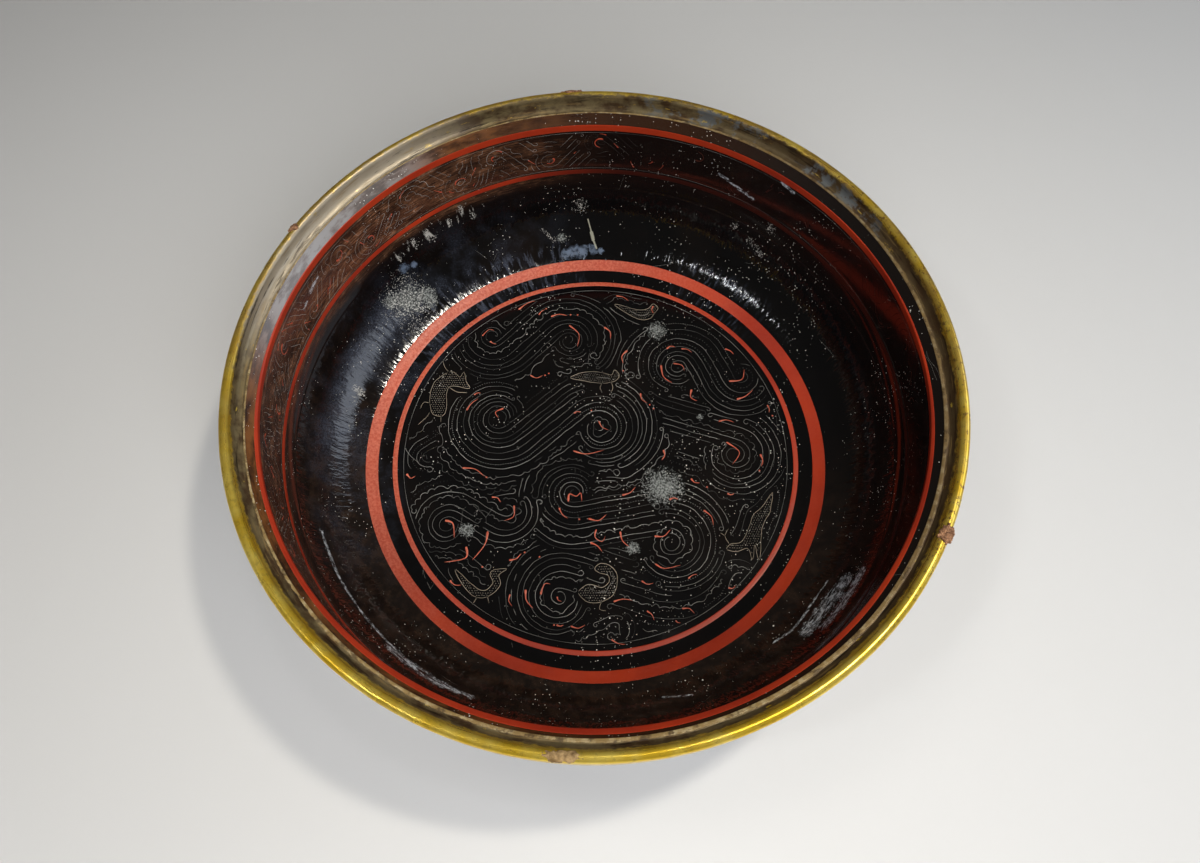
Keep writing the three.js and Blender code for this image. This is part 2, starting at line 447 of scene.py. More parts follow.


# %% [markdown]
# ### Black lacquer
#
# Old lacquer is a deep warm black with a clear gloss. It shows the faint rings of its turning, an uneven
# skin, dust and hair scratches. Inside the bowl a grey film lies on the left of the belly, partly dust and
# partly painted reflection. The lacquer of the wall has gone a translucent brown, brighter on the left as
# painted light, and grainy grey patches show where the gloss is rubbed through. Pale scuffs carry painted
# glare.

# %% Black lacquer
BLACK = rgb(0.0022, 0.0019, 0.0020)
BROWN_BLACK = rgb(0.0062, 0.0040, 0.0030)
MAROON = rgb(0.0080, 0.0044, 0.0036)
BROWN_DARK = rgb(0.060, 0.026, 0.013)
BROWN = rgb(0.330, 0.150, 0.075)
AMBER_DARK = rgb(0.026, 0.010, 0.004)
AMBER = rgb(0.150, 0.056, 0.015)
BELLY_BROWN = rgb(0.026, 0.015, 0.0098)
SHEEN = rgb(0.240, 0.235, 0.230)
DUST_GREY = rgb(0.56, 0.54, 0.49)
SPECK = rgb(0.78, 0.75, 0.68)
CUT_DUST = rgb(0.56, 0.55, 0.51)
CUT_PALE = rgb(0.74, 0.60, 0.42)
FILM_AND_SHEEN = rgb(0.060, 0.070, 0.098)
PATCH_DARK = rgb(0.022, 0.024, 0.022)
PATCH_GREY = rgb(0.250, 0.262, 0.248)
SMUDGE_BLUE = rgb(0.105, 0.140, 0.200)
DRIP_PALE = rgb(0.34, 0.33, 0.25)
SCUFF_AND_GLINT_PALE = rgb(0.62, 0.66, 0.70)


def black_lacquer(name, marks=None):
    """Black lacquer. With marks, a dictionary of spots, it is the inside with all its wear."""
    made, tree, shader, place = finish(name, BLACK, 0.1)
    polar = Polar(tree, place)
    colour = blend(fit(noise(place, 26, 4), 0.45, 0.8, 0, 0.8), BLACK, BROWN_BLACK)
    rough = fit(noise(place, 60, 4), 0.3, 0.8, 0.06, 0.15)
    streaks = noise(polar.wound(52, 90), 1, 2)
    if marks:
        colour, rough = aged_and_lit_wall(place, polar, colour, rough)
        colour, rough = filmed_and_mirrored(place, polar, streaks, colour, rough)
        colour, rough = marked(place, polar, streaks, marks, colour, rough)
    scratch = mask_of(tree, SCRATCHES, Scale=46, Width=0.0009, Turn=0.5, Share=0.36)
    colour, rough = laid(scratch, DUST_GREY, 0.4, colour, rough, 0.25)
    fine = mask_of(tree, DUST, Scale=900, Share=0.31, Size=0.31)
    coarse = mask_of(tree, DUST, Scale=230, Share=0.26, Size=0.14)
    dust = maths("MAXIMUM", fine, coarse)
    colour, rough = laid(dust, SPECK, 0.8, colour, rough)
    if marks:
        colour, rough = cut(place, colour, rough)
    normal = bumped(noise(polar.wound(3, 420), 1, 2), 0.25, 0.02 * MM)
    normal = bumped(noise(place, 95, 3), 0.5, 0.07 * MM, normal)
    on_belly = polar.band(polar.height, FLOOR_LEVEL + 1.2 * MM, 40 * MM, 1.1 * MM)
    normal = bumped(times(streaks, on_belly), 1.0, 0.36 * MM, normal)
    normal = bumped(dust, 0.6, 0.05 * MM, normal)
    feed(tree, shader, Base_Color=colour, Roughness=rough, Normal=normal)
    shader.inputs["IOR"].default_value = 1.5
    return made


# %% [markdown]
# Light and air turn old black lacquer brown. Here the brown lies most on the left of the wall and is
# brightest there, partly as painted light where the lamp falls on that side. Brown is laid over the black
# in fine threads that run round the bowl, because a flat brown would look like paint.

# %% The brown wall
def aged_and_lit_wall(place, polar, colour, rough):
    """The wall is maroon, and brown on the left, brighter there as painted light. Above the upper line it is
    amber, lighter on the left and darker on the right as painted light and shade, with a painted grey
    reflection on the far left.
    """
    # The brown is laid most and brightest on the left, partly as painted light where the lamp falls on the
    # wall.
    brown_and_lit = polar.towards(182, 56, 98)
    cloudy = fit(noise(polar.wound(9, 150), 1, 5, 0.65), 0.33, 0.66)
    worn = fit(noise(place, 170, 5, 0.7), 0.42, 0.66, 0.3, 1)
    colour = blend(fit(polar.height, 33 * MM, 52 * MM), colour, MAROON)
    up = fit(polar.height, 42 * MM, 51 * MM)
    grain = fit(noise(polar.wound(24, 2600), 1, 4, 0.7), 0.40, 0.60, 0.15, 1)
    colour, rough = laid(times(brown_and_lit, up, grain), BROWN_DARK, 0.2, colour, rough, 0.8)
    threads = fit(noise(polar.wound(16, 1500), 1, 4, 0.7), 0.42, 0.60, 0.10, 1)
    colour, rough = laid(times(brown_and_lit, up, cloudy, worn, threads), BROWN, 0.28, colour, rough)
    low = polar.band(polar.away, 100 * MM, 128 * MM, 3 * MM)
    low = times(low, maths("SUBTRACT", 1.0, up))
    colour = blend(times(polar.towards(-105, 50, 115), low, worn), colour, BELLY_BROWN)
    above = fit(polar.height, WALL_TOP - 0.5 * MM, WALL_TOP + 0.5 * MM)
    # Painted light and shade: the amber above the upper line is lighter on the left and darker on the right.
    amber = blend(times(brown_and_lit, cloudy), AMBER_DARK, AMBER)
    shaded = blend(polar.towards(0, 35, 80), amber, BROWN_BLACK)
    # Painted reflection: a pale grey on the amber at the far left, where the window is mirrored.
    sheen = times(polar.towards(149, 8, 30), fit(cloudy, 0.1, 0.8, 0.35, 0.9))
    return laid(above, blend(sheen, shaded, SHEEN), 0.25, colour, rough)


# %% [markdown]
# Wiping leaves a thin bluish film where a cloth turns back. Here it is also painted reflection: a crescent
# of it lies on the left of the belly where the pale window is mirrored, and streaks of it lie beside the
# rings around the lamps' highlights as painted sheen. Its mask has soft borders and is broken into grains,
# so that it dulls the gloss and doesn't hide it.

# %% The grey film and its painted reflection
def filmed_and_mirrored(place, polar, streaks, colour, rough):
    """A thin bluish layer of grains on the left of the belly, partly dust and partly a painted reflection,
    and streaks of it beside the rings, partly painted sheen around the highlights.
    """
    grains = fit(noise(place, 1500, 2, 0.7), 0.42, 0.62, 0.35, 1)
    uneven = fit(noise(place, 70, 5, 0.65), 0.40, 0.68)
    # Painted reflection: the crescent and the veil lie where the window and the lamp are mirrored on the
    # left.
    crescent = polar.band(polar.away, 114 * MM, 118 * MM, 5 * MM)
    sweep = times(polar.towards(162, 10, 34), crescent)
    belly_left = polar.band(polar.away, 95 * MM, 118 * MM, 12 * MM)
    veil = times(polar.towards(158, 25, 70), belly_left, uneven, 0.30)
    film_and_reflection = maths("MULTIPLY_ADD", sweep, 0.40, veil)
    colour, rough = laid(times(film_and_reflection, grains), FILM_AND_SHEEN, 0.4, colour, rough)
    # Painted sheen: the streaks lie only beside the highlights on the left and right of the rings.
    near_rings = polar.band(polar.away, 93 * MM, 108 * MM, 6 * MM)
    sides = maths("MAXIMUM", polar.towards(124, 16, 34), times(polar.towards(54, 6, 16), 0.5))
    brush_and_sheen = times(fit(streaks, 0.5, 0.68), near_rings, sides, grains)
    return laid(brush_and_sheen, FILM_AND_SHEEN, 0.3, colour, rough, 0.8)


# %% [markdown]
# Single marks lie where the picture shows them. A kind of mark is a list of spots, and the distance to the
# nearest one gives its mask, so one patch effect serves for all of them.

# %% Patches, smudges, scuffs and painted glints
def patch_on(place, spots, ragged, soft, grain):
    """The mask of all patches of one kind."""
    reach = nearest_of(place, spots)
    return mask_of(tree_of(place), PATCH, Reach=reach, Ragged=ragged, Soft=soft, Grain=grain)


def marked(place, polar, streaks, marks, colour, rough):
    """Patches rubbed to the ground, hatched grey places, a blue smudge with its drip, and scuffs.

    The scuffs' pale grains are partly painted glare and glints.
    """
    rubbed = patch_on(place, marks["rubbed"], 1.5, 0.9, 0.9)
    salt = noise(place, 1250, 3, 0.7)
    tone = blend(fit(salt, 0.42, 0.60), PATCH_DARK, PATCH_GREY)
    colour, rough = laid(rubbed, tone, 0.75, colour, rough, 0.95)
    hatched = times(patch_on(place, marks["hatched"], 1.8, 1.2, 1.0),
                    fit(streaks, 0.48, 0.60))
    colour, rough = laid(hatched, DUST_GREY, 0.6, colour, rough, 0.55)
    speckled = times(patch_on(place, marks["speckled"], 2.2, 1.6, 1.0), fit(salt, 0.52, 0.60))
    colour, rough = laid(speckled, DUST_GREY, 0.6, colour, rough, 0.7)
    smudge = patch_on(place, marks["smudge"], 2.4, 0.6, 0.45)
    smudge = times(smudge, fit(noise(place, 300, 4), 0.35, 0.6, 0.3, 1))
    colour, rough = laid(smudge, SMUDGE_BLUE, 0.5, colour, rough, 0.85)
    drip = patch_on(place, marks["drip"], 0.5, 0.4, 0.3)
    colour, rough = laid(drip, DRIP_PALE, 0.6, colour, rough, 0.7)
    # Painted glare and glints: the pale scuff grains lie where lamps and highlights shine off the lacquer.
    lines = fit(noise(polar.wound(30, 900), 1, 4, 0.7), 0.43, 0.53)
    sparkle = fit(noise(place, 520, 4, 0.7), 0.40, 0.60, 0.2, 1)
    scuff = times(patch_on(place, marks["scuff"], 1.7, 0.9, 0.7), lines, sparkle)
    return laid(scuff, SCUFF_AND_GLINT_PALE, 0.5, colour, rough, 0.9)


# %% [markdown]
# A needle's cut shows because pale dust sits in it. The mesh knows where its cuts are, so the dust is read
# from an attribute and always lies in the grooves.

# %% Dust in the cuts
def cut(place, colour, rough):
    """Pale dust in the cuts. How full a cut is comes with the mesh, and the animals' dust is paler."""
    dust = blend(from_mesh(place, "golden"), CUT_DUST, CUT_PALE)
    uneven = fit(noise(place, 60, 3), 0.3, 0.7, 0.6, 1)
    filled = times(fit(from_mesh(place, "engraved"), 0.02, 0.75), uneven)
    return laid(filled, dust, 0.8, colour, rough)


# %% [markdown]
# ### Red lacquer
#
# Cinnabar in lacquer, brushed on in one stroke on the lathe. It is rubbed thin in places, so that the black
# shows through pits and pinholes. Dust and a painted sheen make it salmon on the far and left sides, where
# the lamps' gloss lies on it, and the raised strokes are pale salmon with dust and painted sheen. The line
# under the frieze has almost gone on the far and right sides.

# %% Red lacquer
RED = rgb(0.38, 0.030, 0.0065)
RED_DEEP = rgb(0.26, 0.016, 0.0045)
SALMON_DUST_AND_SHEEN = rgb(0.62, 0.185, 0.110)


def red_lacquer(name, pitted=0.5, salmon_dust_and_sheen=0.06, faded=None, far_left_dust_and_sheen=0.0):
    """Red lacquer. Faded is a direction, how far from it the line is dark, and where it is whole again.

    The pale share all over is dust, and on the raised strokes also painted sheen. Towards the far left it
    grows, with dust and painted sheen.
    """
    made, tree, shader, place = finish(name, RED, 0.4)
    polar = Polar(tree, place)
    colour = blend(fit(noise(place, 35, 4), 0.3, 0.7), RED_DEEP, RED)
    pink_grains = fit(noise(place, 900, 3, 0.7), 0.35, 0.7, 0.3, 1)
    # Painted sheen: the pale salmon grows towards the far left, where the lamps' gloss lies on the paint.
    share = maths("MULTIPLY_ADD", polar.towards(145, 25, 110), far_left_dust_and_sheen, salmon_dust_and_sheen, clamp=True)
    colour = blend(times(pink_grains, share), colour, SALMON_DUST_AND_SHEEN)
    pits = mask_of(tree, DUST, Scale=420, Share=0.05 * pitted, Size=0.32)
    rubbed = fit(noise(place, 420, 6, 0.75), 0.71, 0.75, 0, pitted)
    colour = blend(maths("MAXIMUM", pits, rubbed), colour, BROWN_BLACK)
    if faded:
        colour = blend(times(polar.towards(*faded), 0.93), colour, MAROON)
    dust = mask_of(tree, DUST, Scale=700, Share=0.03, Size=0.28)
    colour = blend(times(dust, 0.5), colour, DUST_GREY)
    rough = fit(noise(place, 120, 4), 0.3, 0.7, 0.30, 0.42)
    normal = bumped(noise(place, 800, 3), 0.35, 0.03 * MM)
    normal = bumped(pits, 0.5, -0.08 * MM, normal)
    feed(tree, shader, Base_Color=colour, Roughness=rough, Normal=normal)
    shader.inputs["Specular IOR Level"].default_value = 0.35
    return made


# %% [markdown]
# ### Gilt bronze
#
# Fire-gilding survives on the round bead, where hands kept it bright, and is lost from the sagging flange,
# which wears an olive and brown patina streaked along the rim, with a painted grey sheen on the far left.
# The gold is less dull in front, partly as painted light. The proud border is khaki. The mesh brings the
# border's mask and how far across the channel a point lies: 0 at the inner edge, 1 at the bead, 2 outside.

# %% Gilt bronze
GOLD = rgb(0.74, 0.48, 0.024)
GOLD_PALE = rgb(0.88, 0.68, 0.13)
GOLD_WORN = rgb(0.22, 0.125, 0.040)
GOLD_DULL = rgb(0.40, 0.245, 0.050)
OLIVE = rgb(0.160, 0.122, 0.060)
BRONZE_BROWN = rgb(0.048, 0.027, 0.012)
GREY_SHEEN = rgb(0.42, 0.36, 0.27)
PATINA_GREY = rgb(0.120, 0.128, 0.128)
KHAKI = rgb(0.250, 0.165, 0.062)
KHAKI_PALE = rgb(0.42, 0.33, 0.18)


def patina_and_sheen(place, polar, streaked, mottled):
    """Olive and brown, browner on the right, grey on the far left as a painted sheen, bluish on the far
    right.
    """
    colour = blend(fit(mottled, 0.36, 0.62), BRONZE_BROWN, OLIVE)
    colour = blend(times(polar.towards(-5, 40, 85), 0.75), colour, BRONZE_BROWN)
    # Painted sheen: the pale grey on the far left is where the lamp's highlight spreads over the flange.
    colour = blend(times(polar.towards(146, 10, 36), 0.8), colour, GREY_SHEEN)
    bluish = fit(noise(place, 110, 5, 0.7), 0.5, 0.58)
    colour = blend(times(polar.towards(55, 16, 34), bluish, 0.9), colour, PATINA_GREY)
    colour = blend(fit(streaked, 0.56, 0.66, 0, 0.55), colour, KHAKI)
    return blend(fit(streaked, 0.44, 0.36, 0, 0.7), colour, BROWN_BLACK)


def gilding(place, polar):
    """Where gold is left, further in at the front and less at the back, and its colour.

    The gold is less dulled in front, which is partly painted light.
    """
    near = polar.towards(-90, 50, 110)
    ragged = maths("SUBTRACT", noise(polar.wound(45, 420), 1, 6, 0.7), 0.5)
    kept = maths("MULTIPLY_ADD", ragged, 0.8, from_mesh(place, "across"))
    kept = maths("MULTIPLY_ADD", polar.towards(110, 30, 95), -0.42, kept)
    kept = maths("MULTIPLY_ADD", near, 0.22, kept)
    flakes = fit(noise(polar.wound(14, 330), 1, 5, 0.7), 0.63, 0.67, 0, 0.75)
    gilt = maths("MAXIMUM", fit(kept, 0.86, 1.12), flakes)
    gold = blend(fit(noise(place, 90, 3), 0.35, 0.7), GOLD, GOLD_PALE)
    dull = fit(noise(polar.wound(12, 200), 1, 4, 0.6), 0.35, 0.65, 0.35, 1)
    # Painted light: the gold is dulled less in front, where the lamps shine brightest on the bead.
    dull = times(dull, maths("SUBTRACT", 0.9, times(near, 0.7)))
    gold = blend(dull, gold, GOLD_DULL)
    rubbed = maths("ADD", polar.towards(5, 20, 60), 0.3, clamp=True)
    spots = times(fit(noise(place, 520, 5, 0.75), 0.54, 0.62), rubbed)
    return gilt, blend(spots, gold, GOLD_WORN)


def proud_border(place, polar):
    """Where the border stands proud, and its khaki, which is darker on the right."""
    grit = maths("SUBTRACT", noise(place, 700, 5, 0.75), 0.5)
    proud = fit(maths("MULTIPLY_ADD", grit, 1.4, from_mesh(place, "border")), 0.35, 0.65)
    khaki = blend(fit(noise(place, 320, 5, 0.7), 0.46, 0.66), KHAKI, KHAKI_PALE)
    pitted = fit(noise(place, 240, 5, 0.7), 0.52, 0.62, 0, 0.8)
    khaki = blend(pitted, khaki, BRONZE_BROWN)
    return proud, blend(times(polar.towards(10, 30, 70), 0.5), khaki, BRONZE_BROWN)


def gilt_bronze(name):
    """Patina, then what is left of the gold, then the border."""
    made, tree, shader, place = finish(name, GOLD, 0.3, 0.7)
    shader.inputs["Specular IOR Level"].default_value = 0.25
    polar = Polar(tree, place)
    streaked = noise(polar.wound(7, 520), 1, 5, 0.65)
    mottled = noise(polar.wound(16, 130), 1, 5, 0.6)
    colour = patina_and_sheen(place, polar, streaked, mottled)
    rough = fit(streaked, 0.35, 0.65, 0.32, 0.5)
    metallic = fit(mottled, 0.3, 0.7, 0.35, 0.55)
    gilt, gold = gilding(place, polar)
    colour, rough = laid(gilt, gold, 0.27, colour, rough, 0.95)
    metallic = maths("MULTIPLY_ADD", maths("SUBTRACT", 0.72, metallic), gilt, metallic)
    proud, khaki = proud_border(place, polar)
    colour, rough = laid(proud, khaki, 0.55, colour, rough, 0.85)
    metallic = times(metallic, maths("SUBTRACT", 1.0, times(proud, 0.8)))
    normal = bumped(streaked, 0.5, 0.06 * MM)
    normal = bumped(noise(place, 260, 5, 0.6), 0.35, 0.10 * MM, normal)
    normal = bumped(noise(place, 1300, 3), 0.35, 0.03 * MM, normal)
    feed(tree, shader, Base_Color=colour, Roughness=rough, Metallic=metallic, Normal=normal)
    return made


# %% [markdown]
# ### Crust, wood, ground and paste
#
# Lumps of corrosion and old paste stand on the bead. Wood, ground and bedding lie under the lacquer and show
# only where it has gone: bare wood on the standing edge, and grey ground in the rubbed patches.

# %% Crust, wood, ground and paste
def dull_finish(name, dark, light, scale, drawn=(1, 1, 1), relief=0.1 * MM):
    """A dull finish of two colours, in a pattern that can be drawn out along one side."""
    made, tree, shader, place = finish(name, dark, 0.8)
    stretched = add(tree, "ShaderNodeMapping", Vector=place, Scale=drawn).outputs[0]
    pattern = noise(stretched, scale, 6, 0.65)
    feed(tree, shader, Base_Color=blend(fit(pattern, 0.3, 0.7), dark, light),
         Normal=bumped(pattern, 0.5, relief))
    return made


bare_wood = dull_finish("bare_wood", rgb(0.11, 0.055, 0.026), rgb(0.30, 0.18, 0.095), 160, (1, 0.12, 1))
lacquer_ground = dull_finish("lacquer_ground", rgb(0.045, 0.042, 0.036), rgb(0.12, 0.115, 0.10), 500)
bedding_paste = dull_finish("bedding_paste", rgb(0.12, 0.10, 0.075), rgb(0.26, 0.22, 0.17), 400)
rust_crust = dull_finish("rust_crust", rgb(0.060, 0.024, 0.011), rgb(0.36, 0.185, 0.095), 800,
                         relief=0.3 * MM)
tan_crust = dull_finish("tan_crust", rgb(0.12, 0.070, 0.025), rgb(0.34, 0.225, 0.100), 500, relief=0.2 * MM)
print("plain finishes:", [f.name for f in (bare_wood, lacquer_ground, bedding_paste, rust_crust, tan_crust)])

# %% [markdown]
# ## Surfaces
#
# The basin's outlines are functions of place and of depth under the visible face, so that every coat stays
# parallel to the one above it. The belly is a quarter of an ellipse.

# %% Surfaces
def point_at(centre, radius, angle):
    return centre[0] + radius * math.cos(angle), centre[1] + radius * math.sin(angle)


def round_axis(radius, angle, height):
    """The place at a radius, a direction from the axis and a height."""
    return radius * math.cos(angle), radius * math.sin(angle), height


def belly(angle, depth=0.0):
    """The belly at an angle in radians from straight down."""
    radius = FLOOR_RADIUS + (BELLY_REACH + depth) * math.sin(angle)
    return radius, WALL_FOOT - (BELLY_HEIGHT + depth) * math.cos(angle)


def wall(height, depth=0.0):
    """The wall at a height. It leans out a hair."""
    return WALL_RADIUS + WALL_LEAN * (height - WALL_FOOT) / WALL_HEIGHT + depth, height


def lip(share, depth=0.0):
    """The lip's face, from the channel's inner edge at 0 to the bead at 1. It sags between them."""
    edge = Vector((INNER_EDGE_RADIUS, INNER_EDGE_LEVEL))
    run = Vector((BEAD_CENTRE - BEAD_RADIUS, BEAD_LEVEL)) - edge
    inward = Vector((run.y, -run.x)).normalized()
    point = edge + run * share + inward * (depth + HOLLOW_DEPTH * math.sin(math.pi * share))
    return point.x, point.y


def bead(angle):
    return point_at((BEAD_CENTRE, BEAD_LEVEL), BEAD_RADIUS, angle)


def spread(first, last, steps):
    """Evenly spaced values, both ends included."""
    return [first + (last - first) * step / steps for step in range(steps + 1)]


def eased_step(value, low, high):
    """A soft step from 0 at low to 1 at high."""
    share = min(1.0, max(0.0, (value - low) / (high - low)))
    return share * share * (3 - 2 * share)


def angle_at_radius(radius):
    return math.asin((radius - FLOOR_RADIUS) / BELLY_REACH)


def angle_at_height(height):
    return math.acos((WALL_FOOT - height) / BELLY_HEIGHT)


# %% Where the red lines lie
THIN_OUTER = angle_at_radius(FLOOR_RADIUS + 2.1 * MM)
BROAD_INNER = angle_at_radius(FLOOR_RADIUS + 8.4 * MM)
BROAD_OUTER = angle_at_radius(FLOOR_RADIUS + 13.6 * MM)
FRIEZE_FOOT = WALL_FOOT - 2.8 * MM
LOWER_TOP = angle_at_height(FRIEZE_FOOT)
LOWER_BOTTOM = angle_at_height(FRIEZE_FOOT - 2.5 * MM)
UPPER_FOOT = WALL_TOP - 3.6 * MM
print("broad line from", round(belly(BROAD_INNER)[0] / MM, 1), "to", round(belly(BROAD_OUTER)[0] / MM, 1))

# %% [markdown]
# Each coat is an outline at a depth under the visible face, so neighbours share a border and never cross.

# %% Coats as outlines
BELLY_STEPS = 40


def inside_coat(depth):
    """From the axis out over floor, belly and wall to the channel's inner edge."""
    curve = [belly(angle, depth) for angle in spread(0, math.pi / 2, BELLY_STEPS)]
    return [(0, FLOOR_LEVEL - depth)] + curve + [wall(WALL_TOP, depth), lip(0, depth)]


def outside_coat(depth):
    """From the channel's outer edge down to the foot's worn edge, depth counted from outside."""
    curve = [belly(angle, SHELL - depth) for angle in spread(math.pi / 2, 0, BELLY_STEPS)]
    foot = [(FOOT_RADIUS - depth, FOOT_HEIGHT + depth), (FOOT_RADIUS - depth, FOOT_BARE)]
    return [(FLANGE_RADIUS - depth, FLANGE_FOOT), wall(OUTSIDE_WALL_TOP, SHELL - depth)] + curve + foot


def base_coat(depth):
    """The recess inside the foot, from the foot's worn edge in to the axis."""
    radius = FOOT_RADIUS - FOOT_WIDTH + depth
    return [(radius, FOOT_BARE), (radius, FOOT_HEIGHT + depth), (0, FOOT_HEIGHT + depth)]


def channel_hollow(depth):
    """The underside of the channel: up the inner flange, across under the bead, down the outer flange."""
    inner = [lip(share, depth) for share in spread(0, 1, 10)]
    return inner + [(FLANGE_RADIUS - depth, inner[-1][1]), (FLANGE_RADIUS - depth, FLANGE_FOOT)]


# %% [markdown]
# ## Turning
#
# A potter's or turner's shape is a spin: one vertex is extruded along the outline, the outline is closed,
# and the Spin operator sweeps it round the axis. Doubles are merged before the normals are recalculated.

# %% Turning
ROUND_STEPS = 360
MERGE = 1e-6
SMOOTH_ANGLE = math.radians(35)


def outline_object(name, chains):
    """One object that holds each chain of (radius, height) points as a line of edges."""
    bpy.ops.object.select_all(action="DESELECT")
    bpy.ops.mesh.primitive_plane_add(size=MM, location=(0, 0, 0))
    made = bpy.context.active_object
    made.name = name
    made.data.name = name
    bpy.ops.object.mode_set(mode="EDIT")
    bpy.ops.mesh.select_all(action="SELECT")
    bpy.ops.mesh.merge(type="CENTER")
    for number, chain in enumerate(chains):
        here = Vector((0, 0, 0))
        if number:
            bpy.ops.mesh.select_all(action="DESELECT")
            bpy.ops.mesh.primitive_plane_add(size=MM, location=(0, 0, 0))
            bpy.ops.mesh.merge(type="CENTER")
        for step, (radius, height) in enumerate(chain):
            there = Vector((radius, 0, height))
            if step:
                bpy.ops.mesh.extrude_region_move(TRANSFORM_OT_translate={"value": there - here})
            else:
                bpy.ops.transform.translate(value=there)
            here = there
    return made


def spin(steps=ROUND_STEPS):
    """Sweep what an outline object holds round the axis, and leave edit mode."""
    bpy.ops.mesh.select_all(action="SELECT")
    bpy.ops.mesh.spin(steps=steps, angle=math.tau, center=(0, 0, 0), axis=(0, 0, 1))
    bpy.ops.mesh.select_all(action="SELECT")
    bpy.ops.mesh.remove_doubles(threshold=MERGE)
    bpy.ops.mesh.normals_make_consistent(inside=False)
    bpy.ops.object.mode_set(mode="OBJECT")


def turned(name, outline, material, slot, stands_for, steps=ROUND_STEPS, smooth_angle=SMOOTH_ANGLE):
    """Turn a closed outline, give it its finish and let it stand for a solid of the frame."""
    chain = list(outline)
    if chain[0][0] > 0:
        chain.append(chain[0])
    made = outline_object(name, [chain])
    spin(steps)
    only(made)
    bpy.ops.object.shade_smooth_by_angle(angle=smooth_angle)
    return dressed(made, material, slot, stands_for)


def outward(made, smooth_angle=math.radians(50)):
    """Point a piece's faces outwards, and smooth it but for its sharp edges."""
    only(made)
    bpy.ops.object.mode_set(mode="EDIT")
    bpy.ops.mesh.select_all(action="SELECT")
    bpy.ops.mesh.normals_make_consistent(inside=False)
    bpy.ops.object.mode_set(mode="OBJECT")
    bpy.ops.object.shade_smooth_by_angle(angle=smooth_angle)


def dressed(made, material, slot, *stands_for):
    """Finish, body and the solids that a piece stands for. The slot is not used."""
    made.data.materials.clear()
    made.data.materials.append(material)
    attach(made, "root")
    if stands_for:
        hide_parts(*stands_for)
    print(made.name, "faces:", len(made.data.polygons))
    return made


def between(surface, face, back):
    """The outline of a coat between two depths of a surface."""
    return surface(face) + surface(back)[::-1]


# %% [markdown]
# ## Wood, ground and bedding
#
# The core is one turned piece of wood with a turned-out lip and a ring foot. Only its standing edge shows.

# %% Wood, ground and bedding
HIDDEN_STEPS = 180
core_outline = (
    inside_coat(COATS)
    + channel_hollow(CHANNEL_SHEET + BEDDING)
    + outside_coat(COATS)[:-1]
    + [(FOOT_RADIUS - COATS, 0), (FOOT_RADIUS - FOOT_WIDTH + COATS, 0)]
    + base_coat(COATS)[1:]
)
turned("turned_core", core_outline, bare_wood, "core_wood", "wood_core")
for part, surface in (("inside", inside_coat), ("outside", outside_coat), ("base", base_coat)):
    turned("ground_coat_" + part, between(surface, LACQUER, COATS), lacquer_ground, "lacquer_ground",
           "ground_" + part, HIDDEN_STEPS)
turned("lip_bedding", between(channel_hollow, CHANNEL_SHEET, CHANNEL_SHEET + BEDDING), bedding_paste,
       "bedding_paste", "rim_bedding", HIDDEN_STEPS)

# %% [markdown]
# ## Drawing the clouds
#
# The floor is filled with cloud scrolls: pairs of eyes joined by bundles of nested S curves. Each bundle is
# drawn by a rule, a belt that turns one way round one eye and the other way round the next. Later bundles
# stop where they meet earlier ones, and echo lines then fill the room beside them, as an engraver would.
# The drawing is flat and in millimetres. It is cut into the lacquer further down.

# %% A store of what is drawn
FIELD_RADIUS = 86.0
CLOSE_OTHERS = 1.75
CLOSE_OWN = 1.15
ECHO_SPACING = 2.8
POINT_STEP = 0.85


class Drawn:
    """What is drawn so far, as points in square cells, so that the nearest is found fast."""

    CELL = 2.5

    def __init__(self, width=None):
        self.cells = {}
        self.strokes = []
        self.width = width

    def wrapped(self, point):
        return (point[0] % self.width, point[1]) if self.width else point

    def nearest(self, point, reach, skip=None):
        """The closest drawn point within reach, as (squared distance, bundle, direction)."""
        x, y = self.wrapped(point)
        column, row = int(x // self.CELL), int(y // self.CELL)
        around = int(math.ceil(reach / self.CELL))
        best = None
        for across in range(column - around, column + around + 1):
            for up in range(row - around, row + around + 1):
                for px, py, bundle, direction in self.cells.get((across, up), ()):
                    away = (px - x) ** 2 + (py - y) ** 2
                    if bundle != skip and away < reach * reach and (best is None or away < best[0]):
                        best = (away, bundle, direction)
        return best

    def note(self, line, bundle):
        """Remember a line's points, so that others keep clear of it."""
        for number, point in enumerate(line):
            after, before = line[min(number + 1, len(line) - 1)], line[max(number - 1, 0)]
            direction = math.atan2(after[1] - before[1], after[0] - before[0])
            x, y = self.wrapped(point)
            cell = self.cells.setdefault((int(x // self.CELL), int(y // self.CELL)), [])
            cell.append((x, y, bundle, direction))

    def keep(self, line, bundle, style):
        """Note a line and store it with its style."""
        self.note(line, bundle)
        self.strokes.append((line, style))


# %% [markdown]
# A cloud line is a belt between two spirals, worked out from two circles and the tangent that crosses
# between them, so that the lines of a bundle nest.

# %% Lines
def eased(line, rounds=5):
    """Round off a line's corners by averaging neighbours."""
    for _ in range(rounds):
        middle = [((p[0] + 2 * q[0] + r[0]) / 4, (p[1] + 2 * q[1] + r[1]) / 4)
                  for p, q, r in zip(line, line[1:], line[2:])]
        line = [line[0]] + middle + [line[-1]]
    return line


def curl(centre, radius, start, turns, hand, tighten=0.42):
    """Part of a spiral that winds inwards from a start angle."""
    steps = max(3, int(abs(turns) * math.tau * radius / POINT_STEP))
    points = []
    for step in range(1, steps + 1):
        share = turns * step / steps
        angle = start - hand * math.tau * share
        points.append(point_at(centre, radius * (1 - tighten * share ** 1.3), angle))
    return points


